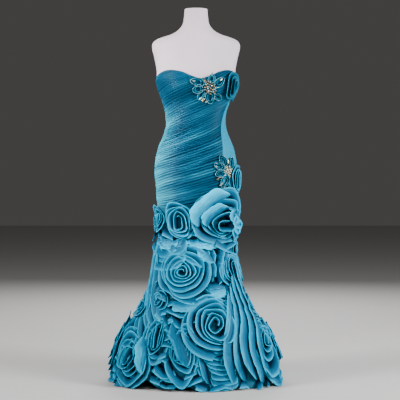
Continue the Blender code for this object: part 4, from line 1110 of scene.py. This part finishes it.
# Ruffles between the rosettes: shorter strips of the same folded satin, laid side by side like shingles, with
# their ends folded to points. They fill the skirt where the coils leave room.
Zone = namedtuple("Zone", "name nodes count width zigzag first last")
ZONES = (
    Zone("thigh_sweep", ["ruffle_thigh"], 3, 0.056, 0.016,
         (Fold(-84, 0.612), Fold(-60, 0.590), Fold(-35, 0.600), Fold(-12, 0.622)),
         (Fold(-86, 0.545), Fold(-62, 0.528), Fold(-40, 0.545), Fold(-18, 0.568))),
    Zone("knee_gap", [], 4, 0.040, 0.004,
         (Fold(13, 0.414), Fold(9, 0.495), Fold(8, 0.572)),
         (Fold(33, 0.405), Fold(36, 0.510), Fold(42, 0.590))),
    Zone("knee_right", ["ruffle_knee_right"], 5, 0.052, 0.004,
         (Fold(-30, 0.592), Fold(-50, 0.540), Fold(-55, 0.441), Fold(-42, 0.330), Fold(-27, 0.215)),
         (Fold(-57, 0.585), Fold(-78, 0.510), Fold(-80, 0.385), Fold(-56, 0.255), Fold(-48, 0.180))),
    Zone("knee_bands", [], 5, 0.040, 0.005,
         (Fold(10, 0.430), Fold(31, 0.436), Fold(54, 0.404)),
         (Fold(3, 0.330), Fold(22, 0.330), Fold(44, 0.296))),
    Zone("hem_column", [], 8, 0.036, 0.002,
         (Fold(4, 0.196), Fold(18, 0.172), Fold(32, 0.206)),
         (Fold(10, 0.036), Fold(18, 0.024), Fold(28, 0.038))),
    Zone("hem_groove", [], 3, 0.034, 0.006,
         (Fold(2, 0.240), Fold(7, 0.162), Fold(9, 0.030)),
         (Fold(-5, 0.300), Fold(-3, 0.209), Fold(4, 0.053))),
    Zone("hem_left", ["ruffle_hem_left"], 5, 0.072, 0.002,
         (Fold(74, 0.520), Fold(76, 0.309), Fold(61, 0.154), Fold(68, 0.008)),
         (Fold(56, 0.410), Fold(45, 0.300), Fold(31, 0.180), Fold(27, 0.008))),
    Zone("hem_right", [], 3, 0.044, 0.010,
         (Fold(-38, 0.240), Fold(-35, 0.165), Fold(-31, 0.070)),
         (Fold(-55, 0.205), Fold(-50, 0.118), Fold(-45, 0.056))),
    Zone("hem_fan", [], 3, 0.046, 0.014,
         (Fold(-52, 0.215), Fold(-68, 0.190), Fold(-86, 0.150)),
         (Fold(-58, 0.320), Fold(-72, 0.264), Fold(-90, 0.215))),
    Zone("hem_loops", [], 4, 0.040, 0.008,
         (Fold(-36, 0.371), Fold(-44, 0.319), Fold(-34, 0.232)),
         (Fold(-70, 0.396), Fold(-68, 0.314), Fold(-54, 0.238))),
)
ZONE_TILTS = (34.0, 92.0)
ZONE_SAMPLES = 60
ZONE_ASIDE = 0.12
ZONE_SWAY = (1.4, 0.0030)
ZONE_WANDER = 5.0
ZONE_SPREAD = 0.12
ZONE_SEED = 900
ZONE_SWAY_SEEDS = (40, 60)
ZONE_STRIP_SEED = 500
END_STAGGER = 0.10
STAGGER_SPREAD = (-0.4, 1.0)
POINT_SHARE = 0.14
POINT_LEAST = 0.25
ZIGZAG_CORNERS = 4
ZIGZAG_SPREAD = (0.5, 1.2)
ZIGZAG_SOFTNESS = 0.8
LEAN_SOFTNESS = 1.5


def along(folds, share):
    """Points on a smooth line through folds, at shares of its way."""
    table = [(number / (len(folds) - 1), fold.angle, fold.height) for number, fold in enumerate(folds)]
    return smooth_rows(table, share)[..., 1:]


def pinched(path, share, corners, offsets, softness):
    """A path moved to its right and left by offsets in metres at its corners."""
    aside = smoothed(np.interp(share, corners, offsets)[:, None], softness)
    return path + aside * right_of(path) / np.stack(metres(path[:, 0], path[:, 1]), axis=-1)


for number, zone in enumerate(ZONES):
    spread = np.random.default_rng(ZONE_SEED + number)
    bm = bmesh.new()
    total = 0.0
    for band in range(zone.count):
        between = band / max(1, zone.count - 1)
        between = np.clip(between + ZONE_ASIDE / zone.count * spread.uniform(-1, 1), 0, 1)
        start = END_STAGGER * spread.uniform(*STAGGER_SPREAD)
        end = 1 - END_STAGGER * spread.uniform(*STAGGER_SPREAD)
        share = np.linspace(start, end, ZONE_SAMPLES)
        path = along(zone.first, share) * (1 - between) + along(zone.last, share) * between
        path[:, 0] += ZONE_SWAY[0] * soft_noise(share * 3.0, band * 0.6, ZONE_SWAY_SEEDS[0] + number)
        path[:, 1] += ZONE_SWAY[1] * soft_noise(share * 3.0, band * 0.6, ZONE_SWAY_SEEDS[1] + number)
        corners = np.sort(np.concatenate([[start, end], spread.uniform(start, end, ZIGZAG_CORNERS)]))
        offsets = zone.zigzag * spread.uniform(*ZIGZAG_SPREAD, len(corners)) * (-1) ** np.arange(len(corners))
        path = pinched(path, share, corners, offsets, ZIGZAG_SOFTNESS)
        point = np.clip(np.minimum(share - start, end - share) / POINT_SHARE, 0, 1) ** 0.6
        width = zone.width * (POINT_LEAST + (1 - POINT_LEAST) * point)
        width = width * (1 + ZONE_SPREAD * spread.uniform(-1, 1))
        points, marks, length, mean_width = ribbon(
            path, smoothed(right_of(path), LEAN_SOFTNESS), width, *ZONE_TILTS,
            ZONE_STRIP_SEED + 9 * number + band, wander=ZONE_WANDER)
        add_grid(bm, points, marks)
        total += length
    piece = add_piece(bm, "folds_" + zone.name, rosette_satin, zone.nodes)


# Tiers under the rosettes: rows of the same folded strip, pinched to and fro and sewn round the whole skirt,
# each over the foot of the one below. They show as facets wherever the rosettes leave a gap.
Tiers = namedtuple("Tiers", "name low high count")
TIERS = (Tiers("hem", 0.030, 0.190, 6), Tiers("knee", 0.222, 0.430, 7), Tiers("thigh", 0.462, 0.652, 6))
TIER_WIDTH = 0.046
TIER_FOOT = 0.0022
TIER_TILTS = (34.0, 78.0)
TIER_FACET = 0.052
TIER_FACET_SPREAD = (0.55, 1.45)
TIER_ZIGZAG = 0.017
TIER_ZIGZAG_SPREAD = (0.4, 1.3)
TIER_SWING = 0.75
TIER_SPREAD = 0.25
TIER_SOFTNESS = 1.2
TIER_RIPPLE = 0.0009
TIER_WANDER = 14.0
TIER_STEP = 0.0052
TIER_END = 359.5
TIER_SAMPLES = 900
TIER_SEED = 700
TIER_STRIP_SEED = 800
TIER_SHORTEST = 8
TIER_COVERED = 0.80
HEM_CLEAR = 0.024
HEM_ROW = 0.050


def pinched_tier(height, seed):
    """A row round the skirt that runs to and fro: its angles, heights, widths and lean."""
    spread = np.random.default_rng(seed)
    degrees = 0.0
    corners = [(0.0, 0.0)]
    side = 1
    while degrees < 360:
        facet = TIER_FACET * spread.uniform(*TIER_FACET_SPREAD)
        degrees += facet / metres(np.array(degrees), np.array(height))[0]
        corners.append((degrees, side * TIER_ZIGZAG * spread.uniform(*TIER_ZIGZAG_SPREAD)))
        side = -side
    corners = np.array(corners)
    turn = np.linspace(0, TIER_END, TIER_SAMPLES)
    up = np.interp(turn, corners[:, 0], corners[:, 1])
    facet = np.searchsorted(corners[:, 0], turn)
    swing = spread.uniform(-TIER_SWING, TIER_SWING, len(corners) + 1)[facet]
    wide = spread.uniform(1 - TIER_SPREAD, 1 + TIER_SPREAD, len(corners) + 1)[facet]
    blended = smoothed(np.stack([up, swing, wide], axis=-1), TIER_SOFTNESS)
    lean = unit(np.stack([blended[:, 1], -np.ones_like(turn)], axis=-1))
    return np.stack([turn - 180, height + blended[:, 0]], axis=-1), lean, TIER_WIDTH * blended[:, 2]


def is_open(path):
    """Where a row shows: not under a rosette, nor within a zone of ruffles."""
    shows = np.ones(len(path), bool)
    for rosette in ALL_ROSETTES:
        width, rise = metres(rosette.angle, np.array(rosette.height))
        across = turn_from(rosette.angle, path[:, 0]) * width
        up = (path[:, 1] - rosette.height) * rise
        shows &= np.hypot(across / rosette.across, up / rosette.up) > TIER_COVERED
    for zone in ZONES:
        edge = np.array(zone.first + zone.last[::-1], float)
        inside = np.zeros(len(path), bool)
        for (x0, y0), (x1, y1) in zip(edge, np.roll(edge, -1, axis=0)):
            if y0 != y1:
                crosses = (y0 > path[:, 1]) != (y1 > path[:, 1])
                inside ^= crosses & (path[:, 0] < x0 + (path[:, 1] - y0) * (x1 - x0) / (y1 - y0))
        shows &= ~inside | (path[:, 1] < HEM_ROW)
    return shows & (path[:, 1] > hem_height(path[:, 0]) + HEM_CLEAR)


for number, tiers in enumerate(TIERS):
    bm = bmesh.new()
    total = 0.0
    for row in range(tiers.count):
        height = tiers.low + (tiers.high - tiers.low) * row / (tiers.count - 1)
        path, lean, width = pinched_tier(height, TIER_SEED + 10 * number + row)
        shows = is_open(path)
        changes = np.flatnonzero(np.diff(shows.astype(int))) + 1
        for part in np.split(np.arange(len(path)), changes):
            if shows[part[0]] and len(part) > TIER_SHORTEST:
                points, marks, length, mean_width = ribbon(
                    path[part], lean[part], width[part], *TIER_TILTS, TIER_STRIP_SEED + 10 * number + row,
                    foot=TIER_FOOT, ripple=TIER_RIPPLE, wander=TIER_WANDER, step=TIER_STEP)
                add_grid(bm, points, marks)
                total += length
    piece = add_piece(bm, "tiers_" + tiers.name, rosette_satin)


# Leaves over the rosettes' edges: single strips of the same folded satin with pointed ends, laid nearly flat,
# and one gathered to and fro at the side of the largest hip rosette.
Leaf = namedtuple("Leaf", "name width foot zigzag pale folds")
LEAVES = (
    Leaf("hip_petal", 0.066, 0.040, 0.001, 0.72,
         (Fold(46, 0.798), Fold(31, 0.772), Fold(20, 0.742), Fold(10, 0.706), Fold(4, 0.664))),
    Leaf("hip_fold", 0.046, 0.040, 0.001, 0.66,
         (Fold(44, 0.748), Fold(31, 0.722), Fold(21, 0.694), Fold(16, 0.664))),
    Leaf("hip_gathers", 0.032, 0.053, 0.015, 0.60,
         (Fold(46, 0.756), Fold(57, 0.722), Fold(66, 0.682), Fold(63, 0.645), Fold(52, 0.626))),
    Leaf("thigh_strip", 0.040, 0.018, 0.003, 0.72,
         (Fold(-16, 0.604), Fold(2, 0.612), Fold(20, 0.606), Fold(36, 0.596))),
    Leaf("thigh_right", 0.044, 0.020, 0.002, 0.66, (Fold(-64, 0.616), Fold(-46, 0.612), Fold(-27, 0.604))),
    Leaf("thigh_point", 0.040, 0.022, 0.001, 0.66, (Fold(2, 0.578), Fold(17, 0.556), Fold(26, 0.516))),
    Leaf("knee_under", 0.046, 0.020, 0.002, 0.62, (Fold(-28, 0.352), Fold(-13, 0.350), Fold(3, 0.356))),
    Leaf("knee_trapezoid", 0.058, 0.012, 0.001, 0.66, (Fold(12, 0.408), Fold(32, 0.420), Fold(58, 0.428))),
    Leaf("knee_sweep", 0.046, 0.010, 0.001, 0.55,
         (Fold(-40, 0.560), Fold(-54, 0.452), Fold(-42, 0.343), Fold(-22, 0.250))),
    Leaf("hem_twist", 0.048, 0.026, 0.001, 0.42,
         (Fold(-21, 0.264), Fold(-12, 0.216), Fold(-7, 0.162), Fold(-3, 0.090))),
    Leaf("hem_leaf", 0.046, 0.030, 0.001, 0.70, (Fold(-44, 0.204), Fold(-37, 0.140), Fold(-38, 0.060))),
)
LEAF_TILTS = (62.0, 96.0)
LEAF_CORNERS = 10
LEAF_ZIGZAG_SPREAD = (0.6, 1.2)
LEAF_SOFTNESS = 0.7
LEAF_POINT = 0.22
LEAF_LEAST = 0.12
LEAF_RISE = 0.5
LEAF_WANDER = 4.0
LEAF_SEED = 960
LEAF_STRIP_SEED = 970
for number, leaf in enumerate(LEAVES):
    spread = np.random.default_rng(LEAF_SEED + number)
    share = np.linspace(0, 1, ZONE_SAMPLES)
    corners = np.linspace(0, 1, LEAF_CORNERS)
    offsets = leaf.zigzag * spread.uniform(*LEAF_ZIGZAG_SPREAD, LEAF_CORNERS)
    offsets = offsets * (-1) ** np.arange(LEAF_CORNERS)
    path = pinched(along(leaf.folds, share), share, corners, offsets, LEAF_SOFTNESS)
    point = np.clip(np.minimum(share, 1 - share) / LEAF_POINT, 0, 1) ** 0.7
    width = leaf.width * (LEAF_LEAST + (1 - LEAF_LEAST) * point)
    points, marks, _, mean_width = ribbon(
        path, smoothed(right_of(path), LEAN_SOFTNESS), width, *LEAF_TILTS, LEAF_STRIP_SEED + number,
        foot=leaf.foot, wander=LEAF_WANDER)
    # Each leaf's pale value lifts its rises, so its foot is not painted as dark shade and more of it takes
    # the painted highlight.
    marks[..., 2] = leaf.pale + LEAF_RISE * marks[..., 2]
    length = float(np.linalg.norm(np.diff(points, axis=1), axis=-1).sum(axis=1).mean())
    bm = bmesh.new()
    add_grid(bm, points, marks)
    piece = add_piece(bm, "leaf_" + leaf.name, rosette_satin)
    round(2 * mean_width, 3)


# Two small roses of the same satin, rolled from narrower strips and sewn on at the bust and at the hip. The
# one at the bust has a depth of colour of its own.
Rose = namedtuple("Rose", "name node coil small foot satin")
# Rose satin: its deep colour is painted shade at the strips' feet and in the pockets, its pale colour a
# painted highlight on the rims.
SATIN_ROSE = (0.000, 0.100, 0.180)
ROSE_PAINTED_SHADE = (0.000, 0.006, 0.022)
ROSE_PAINTED_HIGHLIGHT = (0.010, 0.330, 0.470)
rose_satin = satin_finish("rose_satin", ROSE_PAINTED_SHADE, SATIN_ROSE, ROSE_PAINTED_HIGHLIGHT, streaks=(22.0, 160.0),
                          sheen=0.1, low=(0.40, 0.90), high=(0.94, 1.30))
ROSES = (
    Rose("bust", "bust_rose", Rosette(60, 1.249, 0.044, 0.046, 3.6, -60, 4, 0.7, 0.004, 0.004, 0.006, 60),
         0.62, 0.0030, rose_satin),
    Rose("hip", "hip_rose", Rosette(77, 0.856, 0.032, 0.052, 4.2, -80, 4, 0.75, 0, 0, 0.026, 88),
         0.58, 0.0040, rosette_satin),
)
ROSE_RIPPLE = 0.0006
ROSE_STEP = 0.0022
ROSE_SEED = 60
ROSE_STRIP_SEED = 400
for number, rose in enumerate(ROSES):
    coil = rosette_path(rose.coil, ROSE_SEED + number, 1)
    points, marks, length, mean_width = ribbon(
        coil[:, :2], coil[:, 4:], *petal_lay(coil[:, 2], coil[:, 3], rose.small), ROSE_STRIP_SEED + number,
        foot=rose.foot, ripple=ROSE_RIPPLE, step=ROSE_STEP)
    bm = bmesh.new()
    add_grid(bm, points, marks)
    piece = add_piece(bm, "rose_" + rose.name, rose.satin, [rose.node])
    round(2 * mean_width, 3)


# Beaded motifs at the bust and the hip: loops of narrow satin strip like petals, edged with seed beads, round
# a cluster of cut crystals and gold beads. All are sewn through the pleats by hand.
Motif = namedtuple("Motif", "name node angle height foot petals stones cluster")
Petal = namedtuple("Petal", "x y direction length width")
Stone = namedtuple("Stone", "x y direction length width gold")
MOTIFS = (
    Motif("bust", "bust_brooch", 20, 1.242, 0.0050, (
        Petal(-0.058, 0.022, 172, 0.056, 0.025), Petal(-0.056, -0.006, 188, 0.042, 0.026),
        Petal(-0.040, -0.030, 226, 0.036, 0.022), Petal(0.006, -0.040, 288, 0.046, 0.032),
        Petal(0.004, 0.036, 86, 0.028, 0.020), Petal(0.034, 0.022, 42, 0.038, 0.020),
        Petal(0.044, -0.036, 332, 0.032, 0.017),
    ), (
        Stone(0.005, 0.054, 75, 0.019, 0.008, 0), Stone(0.040, 0.031, 52, 0.020, 0.008, 0),
        Stone(-0.023, 0.027, 122, 0.019, 0.008, 1), Stone(-0.074, 0.026, 175, 0.015, 0.006, 0),
        Stone(-0.041, -0.045, 235, 0.016, 0.009, 0), Stone(-0.027, -0.052, 240, 0.018, 0.009, 1),
        Stone(-0.009, -0.058, 215, 0.017, 0.007, 0), Stone(0.023, -0.021, 300, 0.014, 0.008, 1),
        Stone(0.022, 0.002, 10, 0.013, 0.008, 0),
    ), 0.026),
    Motif("hip", "hip_brooch", 47, 0.897, 0.0040, (
        Petal(-0.020, 0.041, 115, 0.042, 0.024), Petal(0.020, 0.032, 74, 0.042, 0.019),
        Petal(-0.036, 0.018, 156, 0.036, 0.021), Petal(-0.034, -0.012, 196, 0.030, 0.022),
        Petal(-0.014, -0.044, 244, 0.042, 0.026), Petal(-0.004, -0.068, 264, 0.024, 0.016),
    ), (
        Stone(0.003, 0.038, 84, 0.024, 0.008, 1), Stone(-0.050, 0.017, 165, 0.015, 0.009, 0),
        Stone(-0.042, -0.034, 215, 0.015, 0.008, 1), Stone(-0.034, -0.026, 205, 0.012, 0.007, 0),
        Stone(-0.028, -0.056, 225, 0.021, 0.010, 0), Stone(0.017, 0.006, 80, 0.014, 0.009, 0),
        Stone(-0.016, -0.019, 210, 0.014, 0.008, 0), Stone(0.008, -0.023, 290, 0.014, 0.008, 1),
    ), 0.020),
)
PETAL_STRIP = 0.0095
PETAL_INNER = 0.56
PETAL_TILTS = (4.0, 46.0)
PETAL_GAP = 0.12
PETAL_POINTS = 60
PETAL_TAPER = 0.30
PETAL_RIPPLE = 0.0003
PETAL_STEP = 0.0016
PETAL_SEED = 440
BEAD_SIZE = 0.0012
BEAD_PITCH = 0.0034
BEAD_ROW = len(BACK_SHARES) + 2
STONE_OUT = 0.007
STONE_DEPTH = 0.6
STONE_SEGMENTS = 8
STONE_RINGS = 5
CLUSTER_STONES = 28
CLUSTER_SEED = 80
CLUSTER_OUT = 0.0085
CLUSTER_FALL = 0.12
CLUSTER_TURN = 2.4
CLUSTER_SIZES = (0.0045, 0.0078)
CLUSTER_LONGER = (1.0, 1.6)
BEAD_COLOUR = (0.07, 0.24, 0.28)
CRYSTAL_COLOUR = (0.40, 0.53, 0.51)
GOLD_COLOUR = (0.24, 0.16, 0.05)
IVORY_COLOUR = (0.38, 0.33, 0.20)


def crystal_finish():
    """Cut and foiled crystals and silvered seed beads, each a little different."""
    material, shader, shading = new_finish("crystal", {
        "Metallic": 0.35, "Coat Weight": 1.0, "Coat Roughness": 0.03})
    each = noise(shading, place_on_object(shading), 170.0)
    shading.plug(shader.inputs["Base Color"],
                 each.clipped(0.30, 0.70).blend((*BEAD_COLOUR, 1.0), (*CRYSTAL_COLOUR, 1.0)))
    shading.plug(shader.inputs["Roughness"], 0.08 + each * 0.12)
    return material


def gold_finish():
    """Gold-plated beads and ivory crystals in gold claws."""
    material, shader, shading = new_finish("gold_beads", {
        "Metallic": 0.7, "Coat Weight": 0.6, "Coat Roughness": 0.05})
    each = noise(shading, place_on_object(shading), 190.0)
    shading.plug(shader.inputs["Base Color"],
                 each.clipped(0.38, 0.62).blend((*GOLD_COLOUR, 1.0), (*IVORY_COLOUR, 1.0)))
    shading.plug(shader.inputs["Roughness"], 0.12 + each * 0.16)
    return material


def on_motif(motif, x, y, out):
    """A matrix at a place on a motif: its own X runs across, Y up and Z away from the body."""
    width, rise = metres(motif.angle, np.array(motif.height))
    angle = motif.angle + x / width
    height = np.array(motif.height + y / rise)
    around, upward = slopes(angle, height)
    facing = Vector(unit(np.cross(around, upward)))
    across = Vector(unit(around))
    turn = Matrix((across, facing.cross(across), facing)).transposed().to_4x4()
    return Matrix.Translation(Vector(on_cloth(angle, height, out))) @ turn


def sew_stone(bm, motif, stone, out):
    """A long cut stone: a ball of few facets, drawn out and turned to lie on its motif."""
    made = bmesh.ops.create_uvsphere(
        bm, u_segments=STONE_SEGMENTS, v_segments=STONE_RINGS, radius=0.5)["verts"]
    place = on_motif(motif, stone.x, stone.y, out) @ Matrix.Rotation(radians(stone.direction), 4, "Z")
    bmesh.ops.scale(bm, verts=made, vec=(stone.length, stone.width, STONE_DEPTH * stone.width))
    bmesh.ops.transform(bm, matrix=place, verts=made)


def petal_loop(motif, petal, size):
    """Angles and heights of a loop like a petal, anticlockwise from its foot."""
    turn = np.linspace(PETAL_GAP, 2 * pi - PETAL_GAP, PETAL_POINTS)
    ahead = 0.5 * petal.length * size * -np.cos(turn)
    aside = -0.5 * petal.width * size * np.sin(turn) * (1 + PETAL_TAPER * np.cos(turn))
    aim = radians(petal.direction)
    x = petal.x + ahead * np.cos(aim) - aside * np.sin(aim)
    y = petal.y + ahead * np.sin(aim) + aside * np.cos(aim)
    width, rise = metres(motif.angle, np.array(motif.height))
    return np.stack([motif.angle + x / width, motif.height + y / rise], axis=-1)


crystal = crystal_finish()
gold = gold_finish()
for number, motif in enumerate(MOTIFS):
    bm = bmesh.new()
    beads = bmesh.new()
    total = 0.0
    for petal_number, petal in enumerate(motif.petals):
        for size in (1.0, PETAL_INNER):
            path = petal_loop(motif, petal, size)
            width = PETAL_STRIP * 0.5 * (1 + size)
            points, marks, length, mean_width = ribbon(
                path, right_of(path), width, *PETAL_TILTS, PETAL_SEED + 20 * number + petal_number,
                foot=motif.foot, ripple=PETAL_RIPPLE, step=PETAL_STEP)
            add_grid(bm, points, marks)
            total += length
            if size == 1.0:
                rim = points[BEAD_ROW]
                run = run_along(rim)
                for spot in interpolated(np.arange(0, run[-1], BEAD_PITCH), run, rim):
                    bmesh.ops.create_icosphere(beads, subdivisions=1, radius=BEAD_SIZE,
                                               matrix=Matrix.Translation(Vector(spot)))
    petals = add_piece(bm, "leaves_" + motif.name, rose_satin, [motif.node])
    add_piece(beads, "seed_beads_" + motif.name, crystal)
    white = bmesh.new()
    yellow = bmesh.new()
    for stone in motif.stones:
        sew_stone(yellow if stone.gold else white, motif, stone, motif.foot + STONE_OUT)
    spread = np.random.default_rng(CLUSTER_SEED + number)
    for index in range(CLUSTER_STONES):
        reach = motif.cluster * ((index + 0.4) / CLUSTER_STONES) ** 0.5
        aim = index * CLUSTER_TURN
        size = spread.uniform(*CLUSTER_SIZES)
        stone = Stone(reach * np.cos(aim), reach * np.sin(aim), np.degrees(aim),
                      size * spread.uniform(*CLUSTER_LONGER), size, 1)
        sew_stone(white if index % 3 == 1 else yellow, motif, stone,
                  motif.foot + CLUSTER_OUT - CLUSTER_FALL * reach)
    add_piece(white, "crystals_" + motif.name, crystal, smooth=False)
    add_piece(yellow, "gold_cluster_" + motif.name, gold, smooth=False)


# Floor, lights and camera: a plain pale floor, soft studio light from both sides, the front and the back,
# and the photo's eye-level view.
FLOOR_COLOUR = (0.55, 0.54, 0.53, 1.0)
FLOOR_SIZE = 14.0
ROOM_COLOUR = (0.060, 0.058, 0.055, 1.0)
PHOTO_PIXELS = 400
FOCAL_PIXELS = 1176
SENSOR_WIDTH = 36.0
LAMP_SPREAD = 180
TORSO_LAMP_SPREAD = 34
CAMERA_PLACE = (0.0, -5.0, 0.9)
CAMERA_DIP = 1.461
CAMERA_TURN = -0.195


def soft_light(name, place, target, size, power, colour, spread=LAMP_SPREAD):
    """A rectangular lamp that faces its target."""
    lamp = bpy.data.lights.new(name, "AREA")
    lamp.shape = "RECTANGLE"
    lamp.size = size[0]
    lamp.size_y = size[1]
    lamp.energy = power
    lamp.spread = radians(spread)
    lamp.color = colour
    holder = bpy.data.objects.new(name, lamp)
    bpy.context.scene.collection.objects.link(holder)
    holder.location = place
    holder.rotation_euler = (Vector(target) - Vector(place)).to_track_quat("-Z", "Y").to_euler()


soft_light("key", (2.9, -1.7, 1.9), (0.2, 0, 0.35), (1.1, 2.0), 205, (0.98, 1.0, 0.99))
soft_light("fill", (-2.5, -1.3, 2.5), (0, 0, 1.2), (1.1, 1.6), 120, (1.0, 1.0, 0.98))
soft_light("torso", (-2.1, -1.2, 1.6), (-0.05, 0, 1.02), (0.5, 0.5), 4, (1.0, 1.0, 0.99), TORSO_LAMP_SPREAD)
soft_light("front", (0.3, -4.4, 2.8), (0, 0, 0.6), (2.0, 1.6), 55, (1.0, 1.0, 1.0))
soft_light("back", (0.2, 3.2, 2.4), (0, 0, 0.5), (2.4, 1.6), 100, (1.0, 1.0, 1.0))
world = bpy.data.worlds.new("studio")
bpy.context.scene.world = world
world.use_nodes = True
background = world.node_tree.nodes["Background"].inputs
background["Color"].default_value = ROOM_COLOUR
background["Strength"].default_value = 1.0
bm = bmesh.new()
bmesh.ops.create_grid(bm, x_segments=1, y_segments=1, size=FLOOR_SIZE)
mesh = bpy.data.meshes.new("floor")
bm.to_mesh(mesh)
bm.free()
mesh.materials.append(new_finish("floor", {"Roughness": 0.75, "Base Color": FLOOR_COLOUR})[0])
floor = bpy.data.objects.new("floor", mesh)
bpy.context.scene.collection.objects.link(floor)

camera_data = bpy.data.cameras.new("camera")
camera_data.sensor_width = SENSOR_WIDTH
camera_data.lens = SENSOR_WIDTH * FOCAL_PIXELS / PHOTO_PIXELS
camera = bpy.data.objects.new("camera", camera_data)
bpy.context.scene.collection.objects.link(camera)
camera.location = CAMERA_PLACE
camera.rotation_euler = (radians(90 - CAMERA_DIP), 0, radians(CAMERA_TURN))
bpy.context.scene.camera = camera
